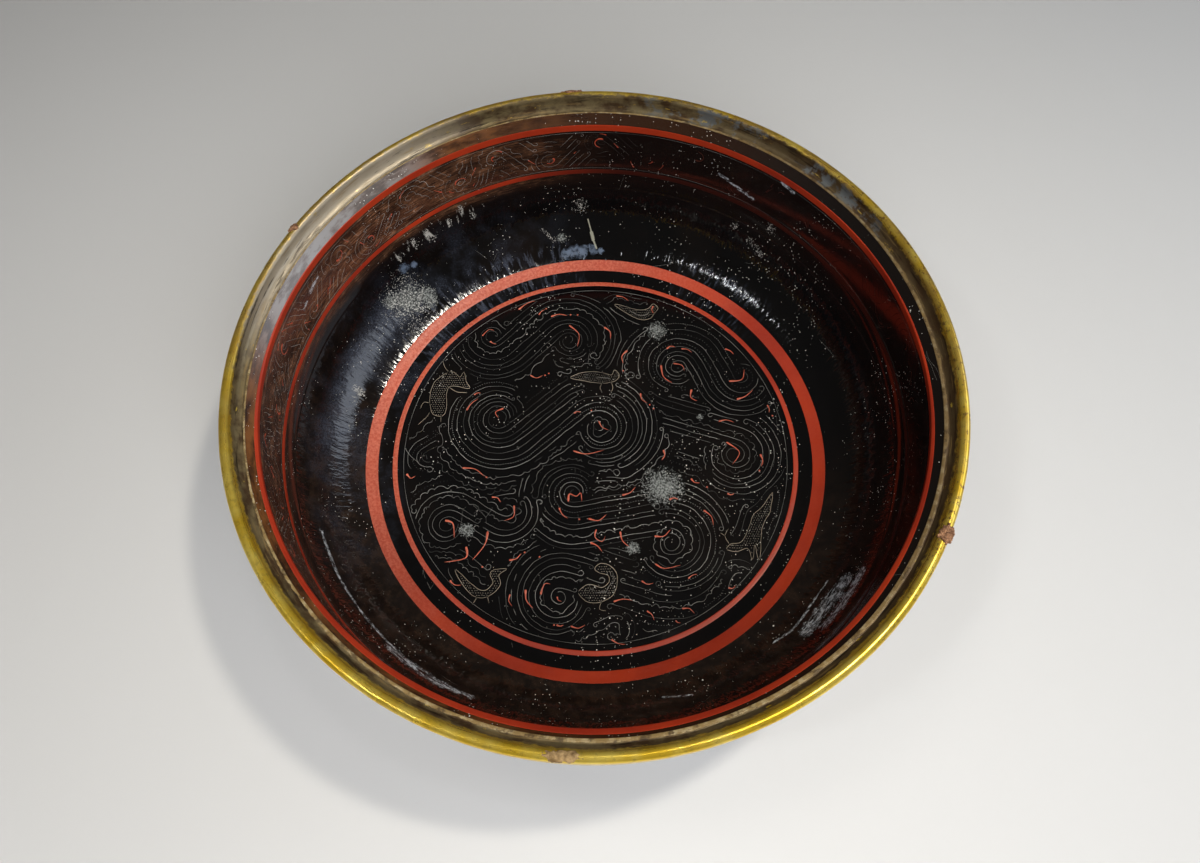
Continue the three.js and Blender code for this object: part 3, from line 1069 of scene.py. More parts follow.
def s_curve(first, second, hand, radius_first, radius_second, turns_first, turns_second):
    """A belt that turns one way round the first eye and the other way round the second."""
    apart = math.dist(first, second)
    along = ((second[0] - first[0]) / apart, (second[1] - first[1]) / apart)
    sine = min(0.97, (radius_first + radius_second) / apart) * hand
    cosine = math.sqrt(1 - sine * sine)
    run = (along[0] * cosine - along[1] * sine, along[0] * sine + along[1] * cosine)
    side = (-run[1] * hand, run[0] * hand)
    leave = (first[0] - side[0] * radius_first, first[1] - side[1] * radius_first)
    reach = (second[0] + side[0] * radius_second, second[1] + side[1] * radius_second)
    leave_angle = math.atan2(leave[1] - first[1], leave[0] - first[0])
    reach_angle = math.atan2(reach[1] - second[1], reach[0] - second[0])
    steps = max(2, int(math.dist(leave, reach) / POINT_STEP))
    crossing = [(leave[0] + (reach[0] - leave[0]) * share, leave[1] + (reach[1] - leave[1]) * share)
                for share in spread(0, 1, steps)]
    return (curl(first, radius_first, leave_angle, turns_first, hand)[::-1] + crossing
            + curl(second, radius_second, reach_angle, turns_second, hand))


# %% [markdown]
# A bundle's lines lie side by side at uneven steps and in changing styles. They stop short of what is drawn,
# and where there is room a line ends in a small curl.

# %% Bundles
def clear_runs(drawn, line, bundle, inside, least=5.5):
    """The stretches of a line that keep clear of what is drawn and stay inside the field."""
    runs, run = [], []
    for point in line + [None]:
        if (point and inside(point) and drawn.nearest(point, CLOSE_OTHERS, bundle) is None
                and drawn.nearest(point, CLOSE_OWN) is None):
            run.append(point)
        else:
            if len(run) * POINT_STEP > least:
                runs.append(run)
            run = []
    return runs


STYLES = (("plain", 0.62, 2.1), ("ruffle", 0.23, 3.1), ("dots", 0.07, 1.6), ("ticks", 0.04, 1.8),
          ("dashes", 0.04, 2.1))


def bundle_plan(chance, room):
    """Styles and offsets of the lines across a bundle. A plain line lies at either edge."""
    plan, offset = [("plain", 0.0)], 0.0
    while True:
        style, _, spacing = chance.choices(STYLES, [weight for _, weight, _ in STYLES])[0]
        if plan[-1][0] == "dots" or style == "dots":
            spacing = 1.6
        if plan[-1][0] != "plain" and style != "plain":
            continue
        offset += spacing * chance.uniform(0.95, 1.6)
        if offset > room:
            return plan
        plan.append((style, offset))


def hooked(drawn, chance, line, inside, often=0.6):
    """Let a line end in a small curl, where there is room for one."""
    if chance.random() > often:
        return line
    end, before = line[-1], line[-3]
    heading = math.atan2(end[1] - before[1], end[0] - before[0])
    radius = chance.uniform(0.8, 1.5)
    first_side = chance.choice((-1, 1))
    for side in (first_side, -first_side):
        centre = point_at(end, radius, heading + side * math.pi / 2)
        tail = curl(centre, radius, heading - side * math.pi / 2, chance.uniform(0.6, 1.1), -side, 0.55)
        if all(inside(point) and drawn.nearest(point, 1.0) is None for point in tail):
            return line + tail
    return line


def draw_bundle(drawn, chance, number, scroll, inside):
    """Draw the lines of one scroll, from the edge of its first eye out."""
    first, second, hand, inner_first, inner_second, turns_first, turns_second, most = scroll
    room = min(most, 0.95 * math.dist(first, second) - inner_first - inner_second)
    plan = bundle_plan(chance, room)
    total = inner_first + inner_second + plan[-1][1]
    for style, offset in plan:
        share = offset / max(plan[-1][1], 1)
        winding = (turns_first * (1 - 0.45 * share) * chance.uniform(0.85, 1.1),
                   turns_second * (0.55 + 0.45 * share) * chance.uniform(0.85, 1.1))
        line = s_curve(first, second, hand, inner_first + offset, total - inner_first - offset, *winding)
        for run in clear_runs(drawn, eased(line), number, inside):
            run = hooked(drawn, chance, hooked(drawn, chance, run, inside)[::-1], inside)
            drawn.keep(run, number, style)


# %% [markdown]
# Room that is left gets lines that repeat their neighbours. Each walks beside the nearest line until
# something is in its way.

# %% Echo lines
def walk(drawn, point, direction, inside, most=110):
    """Follow the direction of the nearest line, side by side with it, until something is in the way."""
    line = []
    for _ in range(most):
        found = drawn.nearest(point, 6.0)
        if not found:
            break
        turn = found[2] if math.cos(found[2] - direction) > 0 else found[2] + math.pi
        if math.cos(turn - direction) < 0.8:
            break
        direction = turn
        point = (point[0] + POINT_STEP * math.cos(direction), point[1] + POINT_STEP * math.sin(direction))
        if not inside(point) or drawn.nearest(point, 1.45):
            break
        line.append(point)
    return line


def draw_echoes(drawn, chance, inside, carry_on=0.6, least=7.0):
    """Fill the room beside the bundles with lines that repeat their direction."""
    starts = []

    def start_beside(line):
        for number in range(0, len(line) - 1, 4):
            (x, y), (to_x, to_y) = line[number], line[number + 1]
            length = math.dist(line[number], line[number + 1]) or 1
            for side in (ECHO_SPACING / length, -ECHO_SPACING / length):
                starts.append((x - side * (to_y - y), y + side * (to_x - x)))

    for line, _ in list(drawn.strokes):
        start_beside(line)
    tried = 0
    while tried < len(starts):
        start = starts[tried]
        tried += 1
        if not inside(start) or drawn.nearest(start, ECHO_SPACING * 0.93) or chance.random() > 0.8:
            continue
        found = drawn.nearest(start, ECHO_SPACING * 1.3)
        if not found:
            continue
        line = walk(drawn, start, found[2] + math.pi, inside)[::-1] + [start]
        line += walk(drawn, start, found[2], inside)
        if len(line) * POINT_STEP < least:
            continue
        style = chance.choice(("plain", "plain", "plain", "ruffle", "ruffle", "ruffle", "ticks", "dots"))
        drawn.keep(hooked(drawn, chance, eased(line, 4), inside), -1, style)
        if chance.random() < carry_on:
            start_beside(line)


# %% [markdown]
# ### The floor's scrolls and animals
#
# The eyes, from first to second, the hand, the inner radii, the turns round each eye and the width of the
# bundle are listed. Animals are outlines through a few points, filled with dots.

# %% The floor's scrolls and animals
SCROLLS = (
    ((-50, 61), (-13, 58), 1, 4.0, 5.0, 0.95, 1.05, 22),
    ((-45, 17), (2, 12), 1, 5.5, 5.0, 1.0, 0.95, 26),
    ((-65, -35), (-39, -28), -1, 4.0, 3.4, 1.05, 0.7, 14),
    ((-10, -20), (33, -43), 1, 4.5, 4.5, 0.85, 1.05, 25),
    ((-15, -67), (33, -43), -1, 4.0, 12.5, 1.05, 0.35, 23),
    ((39, 44), (69, 39), -1, 4.0, 3.5, 1.0, 0.85, 19),
    ((39, 44), (63, -1), 1, 13.0, 5.0, 0.55, 1.0, 18),
    ((-76, -3), (-66, 44), -1, 3.0, 24.0, 0.5, 0.1, 7),
    ((-15, -67), (9, -81), 1, 14.0, 3.0, 0.35, 0.8, 7),
    ((40, -74), (62, -60), 1, 3.0, 4.0, 0.7, 0.5, 12),
    ((2, 12), (-10, -20), -1, 14.0, 11.0, 0.35, 0.25, 5),
)
WORN_THROUGH = ((31, -17, 9), (29, 64, 4.5), (16.4, -45, 2.6), (-56, -38, 3))
BEASTS = (
    ((-70, 41), (-76, 36), (-77.5, 29), (-77, 22), (-75, 18.5), (-71, 18), (-69.5, 22), (-70, 28), (-69, 33),
     (-65, 33.5), (-59.5, 32.5), (-61, 36), (-62.5, 41), (-64.5, 38.5), (-67, 41)),
    ((-60, -55), (-55, -59.5), (-50, -63.5), (-46, -64), (-43.5, -61), (-45, -57.5), (-43.5, -55.2),
     (-38, -54.8), (-41, -57.5), (-40.5, -62), (-44, -66), (-49, -67.5), (-54, -65), (-58, -59.5)),
    ((-7, -65), (-3, -61.5), (3, -63), (6, -60.5), (5.5, -57.5), (2, -56.5), (0, -54.5), (2.5, -52.5),
     (6.5, -53.5), (9.3, -57), (9.5, -62), (7, -67), (1, -69.5), (-4, -68.5)),
    ((57, -46), (59, -43.5), (64, -42.5), (67, -37), (69.5, -30.5), (74, -26.5), (79, -19.5), (77.5, -28),
     (74, -34), (72.5, -41), (71, -50.5), (69.5, -44), (68, -50.5), (66.5, -45.5), (61, -47)),
    ((-12, 38.5), (-5, 41.2), (3, 41), (7.5, 39.8), (9, 42.5), (11, 39), (8, 36), (2, 35.5), (-5, 36.3)),
    ((9, 79), (15, 77.5), (21, 76), (25.5, 76.8), (28, 79.3), (30.5, 77), (28.5, 74), (26, 71), (21, 70.5),
     (15, 74)),
)
LIMBS = (
    ((-76, 24), (-80, 25), (-82, 21.5)), ((-77, 20), (-79, 17), (-82, 13.5)), ((-72, 18.5), (-71.5, 14.5)),
    ((-69, 33), (-65, 30.5), (-60, 30)), ((-70, 41), (-72, 44), (-73, 47.5)), ((-50, -67), (-52, -71)),
    ((-46, -66), (-44.5, -70)), ((58.5, -43.5), (57, -40), (58.5, -36.5)), ((57, -40), (54.5, -38.5)),
    ((4, 36.5), (2, 33), (3, 31)), ((7, 36), (8, 32.5), (7, 30.5)), ((3, -69), (2, -72.5), (5, -73)),
)


def through(points, closed=False, step=0.7):
    """A smooth curve through a few points (Catmull and Rom's rule)."""
    count = len(points)
    line = []
    for number in range(count if closed else count - 1):
        if closed:
            p, q, r, s = (points[(number + k) % count] for k in (-1, 0, 1, 2))
        else:
            p, q, r, s = (points[min(max(number + k, 0), count - 1)] for k in (-1, 0, 1, 2))
        steps = max(2, int(math.dist(q, r) / step))
        for t in spread(0, 1, steps)[:-1]:
            line.append(tuple(
                0.5 * (2 * b + (c - a) * t + (2 * a - 5 * b + 4 * c - d) * t * t
                       + (3 * b - a - 3 * c + d) * t ** 3) for a, b, c, d in zip(p, q, r, s)))
    line.append(line[0] if closed else points[-1])
    return line


def inside_outline(point, outline):
    """Whether a point lies inside a closed outline, by counting crossings."""
    crossings = 0
    for (x1, y1), (x2, y2) in zip(outline, outline[1:]):
        if (y1 > point[1]) != (y2 > point[1]):
            crossings += point[0] < x1 + (point[1] - y1) * (x2 - x1) / (y2 - y1)
    return crossings % 2 == 1


def spots_in(outline, spacing, chance):
    """Dots on a loose triangular grid inside an outline, away from its edge."""
    xs, ys = [p[0] for p in outline], [p[1] for p in outline]
    spots = []
    for row in range(int((max(ys) - min(ys)) / spacing) + 1):
        for column in range(int((max(xs) - min(xs)) / spacing) + 1):
            point = (min(xs) + (column + 0.5 * (row % 2)) * spacing + chance.uniform(-0.14, 0.14),
                     min(ys) + row * spacing + chance.uniform(-0.14, 0.14))
            if inside_outline(point, outline) and min(math.dist(point, p) for p in outline) > 0.6:
                spots.append(point)
    return spots


def in_field(point):
    """Whether a point of the floor can be drawn on, inside the border and off the worn places."""
    if math.hypot(*point) > FIELD_RADIUS:
        return False
    return all(math.dist(point, (x, y)) > radius * 0.93 for x, y, radius in WORN_THROUGH)


floor_drawing = Drawn()
floor_chance = random.Random(5)
golden_dots = []
for beast in BEASTS:
    outline = through(beast, closed=True)
    floor_drawing.keep(outline, -2, "golden")
    golden_dots += spots_in(outline, 1.05, floor_chance)
for limb in LIMBS:
    floor_drawing.keep(through(limb), -2, "golden")
for number, scroll in enumerate(SCROLLS):
    draw_bundle(floor_drawing, floor_chance, number, scroll, in_field)
draw_echoes(floor_drawing, floor_chance, in_field)
drawn_length = sum(len(line) * POINT_STEP for line, _ in floor_drawing.strokes)
print("floor lines:", len(floor_drawing.strokes), "length in mm:", round(drawn_length))

# %% [markdown]
# ### The frieze
#
# On the wall runs a band of smaller scrolls whose eyes lie by turns high and low. It is drawn on a strip as
# long as the way round the wall, so that its end meets its beginning.

# %% The frieze
FRIEZE_RADIUS = 128.4
WALL_ROUND = math.tau * FRIEZE_RADIUS
FRIEZE_LOW, FRIEZE_HIGH = 53.4, 74.8
FRIEZE_BORDERS = (52.6, 75.7)
FRIEZE_MIDDLE = 64.3
EYES = 36
EYE_STEP = WALL_ROUND / EYES


def in_frieze(point):
    return FRIEZE_LOW < point[1] < FRIEZE_HIGH


frieze_drawing = Drawn(WALL_ROUND)
frieze_chance = random.Random(12)
frieze_eyes = []
frieze_scrolls = []
for number in range(EYES):
    swing = 4.6 if number % 2 else -4.6
    frieze_eyes.append(((number + frieze_chance.uniform(-0.12, 0.12)) * EYE_STEP,
                        FRIEZE_MIDDLE + swing + frieze_chance.uniform(-0.8, 0.8)))
for number in range(EYES):
    here = frieze_eyes[number]
    there = frieze_eyes[(number + 1) % EYES]
    if number == EYES - 1:
        there = (there[0] + WALL_ROUND, there[1])
    hand = 1 if number % 2 else -1
    frieze_scrolls.append((here, there, -hand, 2.0, 2.0, 0.8, 0.8, 11.5))
    draw_bundle(frieze_drawing, frieze_chance, number, frieze_scrolls[-1], in_frieze)
draw_echoes(frieze_drawing, frieze_chance, in_frieze, 0.5, 4.0)
print("frieze lines:", len(frieze_drawing.strokes))

# %% [markdown]
# ## Line styles
#
# A needle makes more than plain lines: rows of dots, ticks across the way, dashes, and the lobed edge that
# says cloud. Each drawn line becomes plain strokes and dots here.

# %% Line styles
LOBE_STEP = 0.4
DOT_STEP = 1.15
TICK_STEP = 1.5
TICK_HALF = 0.55
TICK_SLANT = 0.9


def resampled(line, step):
    """Points at even steps along a line, with the direction at each."""
    points, needed = [], 0.0
    for start, end in zip(line, line[1:]):
        length = math.dist(start, end)
        direction = math.atan2(end[1] - start[1], end[0] - start[0])
        while needed <= length and length > 0:
            share = needed / length
            points.append((start[0] + (end[0] - start[0]) * share, start[1] + (end[1] - start[1]) * share,
                           direction))
            needed += step
        needed -= length
    return points


def wobbled(line, chance, size=0.13):
    """The small unsteadiness of a hand, as two slow waves."""
    phases = [chance.uniform(0, math.tau) for _ in range(4)]
    return [(x + size * (math.sin(number * 0.31 + phases[0]) + 0.5 * math.sin(number * 0.83 + phases[1])),
             y + size * (math.sin(number * 0.27 + phases[2]) + 0.5 * math.sin(number * 0.71 + phases[3])))
            for number, (x, y) in enumerate(line)]


def lobed(line, chance):
    """A cloud's edge: lobes of uneven length and height along a line."""
    made, start, length, out = [], 0.0, 0.0, 0.0
    side = chance.choice((-1, 1))
    for number, (x, y, direction) in enumerate(resampled(line, LOBE_STEP)):
        if number * LOBE_STEP >= start + length:
            start, length = number * LOBE_STEP, chance.uniform(1.8, 5.0)
            out = side * chance.uniform(0.5, 1.35) * (-0.5 if chance.random() < 0.2 else 1)
        rise = out * math.sin(math.pi * (number * LOBE_STEP - start) / length) ** 0.7
        made.append((x - rise * math.sin(direction), y + rise * math.cos(direction)))
    return made


def styled(drawn, chance, faint, strong, wear=lambda point: 1.0):
    """Every drawn line as needle strokes and dots: points, how pale, and whether it is an animal's."""
    strokes, dots = [], []
    for line, style in drawn.strokes:
        line = wobbled(line, chance)
        strength = (faint + (strong - faint) * chance.random() ** 1.5) * wear(line[0])
        if style == "plain":
            strokes.append((line, strength, 0))
        elif style == "golden":
            strokes.append((line, 1.0, 1))
        elif style == "dashes":
            start = 0
            while start < len(line) - 3:
                length = chance.randint(5, 12)
                strokes.append((line[start:start + length], strength * 1.2, 0))
                start += length + chance.randint(1, 3)
        elif style == "dots":
            dots += [((x, y), strength, 0) for x, y, _ in resampled(line, DOT_STEP)]
        elif style == "ticks":
            for x, y, direction in resampled(line, TICK_STEP):
                slant = direction + TICK_SLANT
                reach = (TICK_HALF * math.cos(slant), TICK_HALF * math.sin(slant))
                tick = [(x - reach[0], y - reach[1]), (x, y), (x + reach[0], y + reach[1])]
                strokes.append((tick, strength, 0))
        else:
            strokes.append((lobed(line, chance), strength, 0))
    return [stroke for stroke in strokes if len(stroke[0]) > 2], dots


def frieze_cut_paleness(point):
    """The frieze's cuts are pale on the left and almost blank on the right."""
    return 0.05 + 0.95 * eased_step(math.cos(point[0] / FRIEZE_RADIUS - math.radians(172)), -0.1, 0.5)


floor_strokes, floor_dots = styled(floor_drawing, floor_chance, 0.34, 1.0)
floor_dots += [(dot, 0.9, 1) for dot in golden_dots]
BORDER_STEPS = 620
border_line = [point_at((0, 0), 87.0, math.tau * step / BORDER_STEPS) for step in range(BORDER_STEPS)]
frieze_strokes, frieze_dots = styled(frieze_drawing, frieze_chance, 0.6, 1.25, frieze_cut_paleness)
print("needle strokes on floor and frieze:", len(floor_strokes), len(frieze_strokes))

# %% [markdown]
# ## Cutting the grooves
#
# A groove is a V: its two lips stay on the surface and its middle is sunk. All lips and middles go into one
# constrained triangulation of the sheet, so the cuts are part of the mesh and not laid on it. An attribute
# marks the sunk points, and the finish reads it to lay pale dust in the cuts.

# %% Cutting the grooves
HALF_WIDTH = 0.10
GROOVE_DEPTH = 0.10
DOT_RADIUS = 0.22


def across_line(before, after):
    """The unit direction across a line, from the points before and after."""
    length = math.dist(before, after) or 1
    return -(after[1] - before[1]) / length, (after[0] - before[0]) / length


class Sheet:
    """Points and edges of one engraved sheet in its flat drawing, in millimetres."""

    def __init__(self, flat):
        self.flat = flat
        self.points = []
        self.cuts = []
        self.edges = []

    def put(self, point, depth=0.0, strength=0.0, golden=0):
        """One point of the sheet: how deep it is sunk, how pale its dust is, and whether that is golden."""
        self.points.append(Vector(self.flat(point)))
        self.cuts.append((depth, strength, golden))
        return len(self.points) - 1

    def chain(self, numbers, closed=False):
        """Edges from point to point."""
        self.edges += list(zip(numbers, numbers[1:]))
        if closed:
            self.edges.append((numbers[-1], numbers[0]))

    def groove(self, line, strength, golden=0, closed=False):
        """Lips and middle of a needle stroke that thins out to a point at both ends."""
        left, middle, right = [], [], []
        last = len(line) - 1
        for number, (x, y) in enumerate(line):
            before = line[number - 1] if number or closed else line[0]
            after = line[(number + 1) % len(line)] if number < last or closed else line[last]
            across = across_line(before, after)
            taper = 1 if closed else min(1, number / 2, (last - number) / 2)
            if taper == 0:
                tip = self.put((x, y))
                for side in (left, middle, right):
                    side.append(tip)
                continue
            half = HALF_WIDTH * (0.45 + 0.55 * taper)
            left.append(self.put((x + across[0] * half, y + across[1] * half)))
            right.append(self.put((x - across[0] * half, y - across[1] * half)))
            pale = strength * (0.8 + 0.2 * math.sin(number * 0.21 + line[0][0]))
            middle.append(self.put((x, y), GROOVE_DEPTH * taper, pale, golden))
        for side in (left, middle, right):
            self.chain(side, closed)

    def dot(self, point, strength, golden):
        ring = [self.put(point_at(point, DOT_RADIUS, math.tau * step / 5)) for step in range(5)]
        self.chain(ring, closed=True)
        self.put(point, GROOVE_DEPTH, strength, golden)

    def circle(self, points):
        self.chain([self.put(point) for point in points], closed=True)

    def mesh(self, name, place, outside):
        """Triangulate the sheet and give every point its place in the basin."""
        points, _, faces, origins, _, _ = delaunay_2d_cdt(self.points, self.edges, [], 1, 1e-5)
        cuts = [max((self.cuts[origin] for origin in found), default=(0.0, 0.0, 0)) for found in origins]
        faces = [face for face in faces if not outside(face, points)]
        made = bpy.data.meshes.new(name)
        made.from_pydata([place(point, cut[0]) for point, cut in zip(points, cuts)], [], faces)
        for label, kind, domain, values in (
                ("engraved", "FLOAT", "POINT", [min(1.0, strength) for _, strength, _ in cuts]),
                ("golden", "FLOAT", "POINT", [float(golden) for _, _, golden in cuts]),
                ("relief", "INT", "FACE", [1] * len(made.polygons))):
            made.attributes.new(label, kind, domain).data.foreach_set("value", values)
        piece = bpy.data.objects.new(name, made)
        bpy.context.scene.collection.objects.link(piece)
        print(name, "faces:", len(made.polygons))
        return piece


# %% [markdown]
# The floor is flat, so its drawing is used as it is. Its edge has as many points as the spun belly beside it,
# so that the two join point to point.

# %% The engraved floor
DISC_RADIUS = 88.4
floor_sheet = Sheet(lambda point: point)
floor_edge = [point_at((0, 0), DISC_RADIUS, math.tau * step / ROUND_STEPS) for step in range(ROUND_STEPS)]
floor_sheet.circle(floor_edge)
for stroke in floor_strokes:
    floor_sheet.groove(*stroke)
floor_sheet.groove(border_line, 0.6, closed=True)
for dot in floor_dots:
    floor_sheet.dot(*dot)


def floor_place(point, depth):
    """From the flat drawing, in millimetres, to the floor."""
    return point.x * MM, point.y * MM, FLOOR_LEVEL - depth * MM


engraved_floor = floor_sheet.mesh("engraved_floor", floor_place, lambda face, points: False)

# %% [markdown]
# The frieze is triangulated as a flat ring, which closes on itself, and then stood up as the wall. In the
# ring, a point's distance from the middle is its height plus an offset, which keeps its scale about right.

# %% The engraved frieze
FLAT_OFFSET = 64.4
FILL_HEIGHTS = (54.4, 58.5, 62.5, 66.5, 70.5, 74.0)


def inside_radius(height):
    """The inside's radius at a height in metres."""
    if height < WALL_FOOT:
        return FLOOR_RADIUS + BELLY_REACH * math.sqrt(1 - ((WALL_FOOT - height) / BELLY_HEIGHT) ** 2)
    return wall(height)[0]


def strip_to_ring(point):
    """From the frieze's strip to the flat ring."""
    return point_at((0, 0), point[1] + FLAT_OFFSET, point[0] / FRIEZE_RADIUS)


def ring_place(point, depth):
    """From the flat ring to the wall."""
    angle = math.atan2(point.y, point.x)
    height = (point.length - FLAT_OFFSET) * MM
    return round_axis(inside_radius(height) + depth * MM, angle, height)


def strip_points(height):
    """Points all along the strip at a height."""
    return [(WALL_ROUND * step / ROUND_STEPS, height) for step in range(ROUND_STEPS)]


frieze_foot, frieze_top = FRIEZE_FOOT / MM, UPPER_FOOT / MM
frieze_sheet = Sheet(strip_to_ring)
for height in (frieze_foot, frieze_top):
    frieze_sheet.circle(strip_points(height))
for step in range(ROUND_STEPS):
    for height in FILL_HEIGHTS:
        point = (WALL_ROUND * (step + 0.5) / ROUND_STEPS, height)
        if not frieze_drawing.nearest(point, 0.8):
            frieze_sheet.put(point)
for stroke in frieze_strokes:
    frieze_sheet.groove(*stroke)
for height in FRIEZE_BORDERS:
    frieze_sheet.groove(strip_points(height), 0.5, closed=True)
for dot in frieze_dots:
    frieze_sheet.dot(*dot)


def in_the_hole(face, points):
    """Whether a face spans the flat ring's open middle."""
    return all(points[corner].length < frieze_foot + FLAT_OFFSET + 0.01 for corner in face)


engraved_frieze = frieze_sheet.mesh("engraved_frieze", ring_place, in_the_hole)

# %% [markdown]
# ## The inside skin
#
# The plain part of the skin is spun as before, with two gaps in its outline. The engraved floor and frieze
# are joined into the gaps, and the rings of points on either side of each seam are merged into one. The
# uncut lacquer then gets the normals of the true curve, so that its gloss stays calm beside the cuts. The
# belly between them has fewer steps than the coats under it, to keep the skin below 200,000 triangles.

# %% The inside skin
SEAM_MERGE = 0.03 * MM
LOWER_STEPS = 26


def inside_skin():
    """Spin the plain part, join the engraved sheets to it and close the seams."""
    lower = [(DISC_RADIUS * MM, FLOOR_LEVEL)] + [belly(angle) for angle in spread(0, LOWER_TOP, LOWER_STEPS)]
    upper = [wall(UPPER_FOOT), wall(WALL_TOP), lip(0)] + inside_coat(LACQUER)[::-1]
    made = outline_object("lacquer_skin_inside", [lower, upper])
    spin()
    only(made)
    engraved_floor.select_set(True)
    engraved_frieze.select_set(True)
    bpy.ops.object.join()
    bpy.ops.object.mode_set(mode="EDIT")
    bpy.ops.mesh.select_mode(type="VERT")
    bpy.ops.mesh.select_all(action="DESELECT")
    bpy.ops.mesh.select_non_manifold()
    bpy.ops.mesh.remove_doubles(threshold=SEAM_MERGE)
    bpy.ops.object.mode_set(mode="OBJECT")
    outward(made, SMOOTH_ANGLE)
    return made


def true_normals(places):
    """The curve's own normals at points of the visible skin."""
    radius = np.hypot(places[:, 0], places[:, 1])
    height = places[:, 2]
    over = np.maximum(radius - FLOOR_RADIUS, 0) / BELLY_REACH ** 2
    under = np.maximum(WALL_FOOT - height, 0) / BELLY_HEIGHT ** 2
    on_wall = height > WALL_FOOT
    over = np.where(on_wall, 1.0, over)
    under = np.where(on_wall, WALL_LEAN / WALL_HEIGHT, under)
    on_floor = radius < FLOOR_RADIUS
    over = np.where(on_floor, 0.0, over)
    under = np.where(on_floor, 1.0, under)
    size = np.hypot(over, under)
    safe = np.maximum(radius, 1e-9)
    sideways = [-over * places[:, axis] / size / safe for axis in (0, 1)]
    return np.stack(sideways + [under / size], axis=1)


def read(rows, label, count, kind=float):
    """One value of each item of a mesh, as an array."""
    values = np.zeros(count, dtype=kind)
    rows.foreach_get(label, values)
    return values


def calm_gloss(piece):
    """Flat facets in the cuts, and true normals on the lacquer beside them."""
    data = piece.data
    places = read(data.vertices, "co", len(data.vertices) * 3).reshape(-1, 3)
    sunk = read(data.attributes["engraved"].data, "value", len(data.vertices))
    relief = read(data.attributes["relief"].data, "value", len(data.polygons), np.int32)
    corners = read(data.loops, "vertex_index", len(data.loops), np.int32)
    totals = read(data.polygons, "loop_total", len(data.polygons), np.int32)
    face_of = np.repeat(np.arange(len(totals)), totals)
    cut = np.zeros(len(totals))
    np.maximum.at(cut, face_of, sunk[corners])
    data.polygons.foreach_set("use_smooth", (cut == 0))
    land = ((relief == 1) & (cut == 0))[face_of]
    normals = np.zeros((len(corners), 3))
    normals[land] = true_normals(places[corners[land]])
    data.normals_split_custom_set(normals.tolist())
    print("cut facets:", int((cut > 0).sum()), "of", len(totals))


# %% [markdown]
# ### Where the wear and the painted glints lie
#
# Each mark is a start, an end and a radius: a round one starts and ends at one point, and a scratch is drawn
# out. The places were found in the picture and are told by direction, distance from the axis and height.

# %% Where the wear and the painted glints lie
def on_inside(degrees, radius, height=None):
    """A point of the inside, from its direction and distance from the axis. The wall needs a height."""
    if height is None and radius * MM < FLOOR_RADIUS:
        height = FLOOR_LEVEL / MM
    elif height is None:
        out = (radius * MM - FLOOR_RADIUS) / BELLY_REACH
        height = (WALL_FOOT - BELLY_HEIGHT * math.sqrt(1 - out ** 2)) / MM
    x, y = point_at((0, 0), radius, math.radians(degrees))
    return Vector((x, y, height)) * MM


def spot(degrees, radius, size):
    """A round mark."""
    place = on_inside(degrees, radius)
    return place, place, size * MM


def scratch(first, last, size):
    """A mark that is drawn out."""
    return on_inside(*first), on_inside(*last), size * MM


def trail(sizes, *points):
    """Scratches end to end, each with its own size."""
    return [scratch(*ends) for ends in zip(points, points[1:], sizes)]


def on_frieze(degrees, height):
    return degrees, FRIEZE_RADIUS, height


MARKS = {
    "rubbed": (spot(-29.3, 34.8, 8.0), spot(65.5, 70.2, 4.2), spot(-70.5, 48.2, 2.8), spot(213.7, 67.5, 2.9),
               spot(20, 51.5, 1.5), spot(140.5, 116.3, 7.0), spot(136.5, 112.5, 5.0), spot(144, 119.5, 4.0),
               spot(98.7, 113.4, 2.2)),
    "hatched": (spot(119.8, 126.7, 4.0), spot(117.0, 126.6, 3.2), spot(124.3, 126.5, 2.6),
                spot(128.4, 126.2, 3.0), spot(133.4, 126.4, 3.0), spot(167, 112.6, 3.6),
                spot(137, 126.3, 2.4)),
    "speckled": (spot(93.7, 122.8, 3.0), spot(50.4, 127.6, 2.2), spot(58.1, 125.3, 1.8),
                 spot(141, 116.5, 9.5), scratch((53.7, 124.2), (50.1, 122.6), 1.4),
                 scratch((103.2, 117.4), (100.5, 112.6), 0.8)),
    "smudge": (spot(93.4, 107.6, 2.9), spot(95.8, 107.2, 3.3), spot(98.2, 106.8, 2.4), spot(91.0, 107.8, 2.6),
               spot(88.8, 107.6, 1.6), spot(137, 123.6, 2.4), spot(134.6, 123.0, 1.6)),
    "drip": trail((0.35, 0.8, 0.45), (92.0, 119.0), (91.2, 114.6), (90.8, 112.0), (90.0, 108.6)),
    # The scuffs on the belly carry painted glare, and those on the frieze are painted glints.
    "scuff": (
        *trail((3.4, 3.6, 3.4), (315.5, 120.0), (319.5, 119.6), (323.5, 119.8), (327.5, 121.0)),
        *trail((2.4, 2.8, 2.2), (317.0, 123.6), (321.5, 124.0), (326.0, 124.4), (330.0, 124.4)),
        *trail((0.55, 0.5, 0.55, 0.4), (309.5, 114.0), (313.8, 115.6), (318.0, 115.4), (322.6, 114.8),
               (327.0, 115.4)),
        *trail((2.4, 2.6, 1.6), (229.5, 122.4), (235.2, 122.2), (240.7, 121.9), (246.6, 120.8)),
        *trail((0.8, 0.7, 0.8), (201, 122.0), (212, 122.0), (222, 121.6), (230, 121.6)),
        scratch((284, 112.8), (289.5, 115.6), 0.5),
        scratch(on_frieze(158.0, 69.6), on_frieze(155.4, 71.0), 1.2),
        scratch(on_frieze(161.4, 66.4), on_frieze(160.2, 67.4), 0.8),
        *trail((0.9, 1.0), on_frieze(63.9, 63.2), on_frieze(60.2, 60.0), on_frieze(56.0, 57.0)),
        scratch(on_frieze(50.6, 76.2), on_frieze(48.0, 74.8), 0.9),
    ),
}
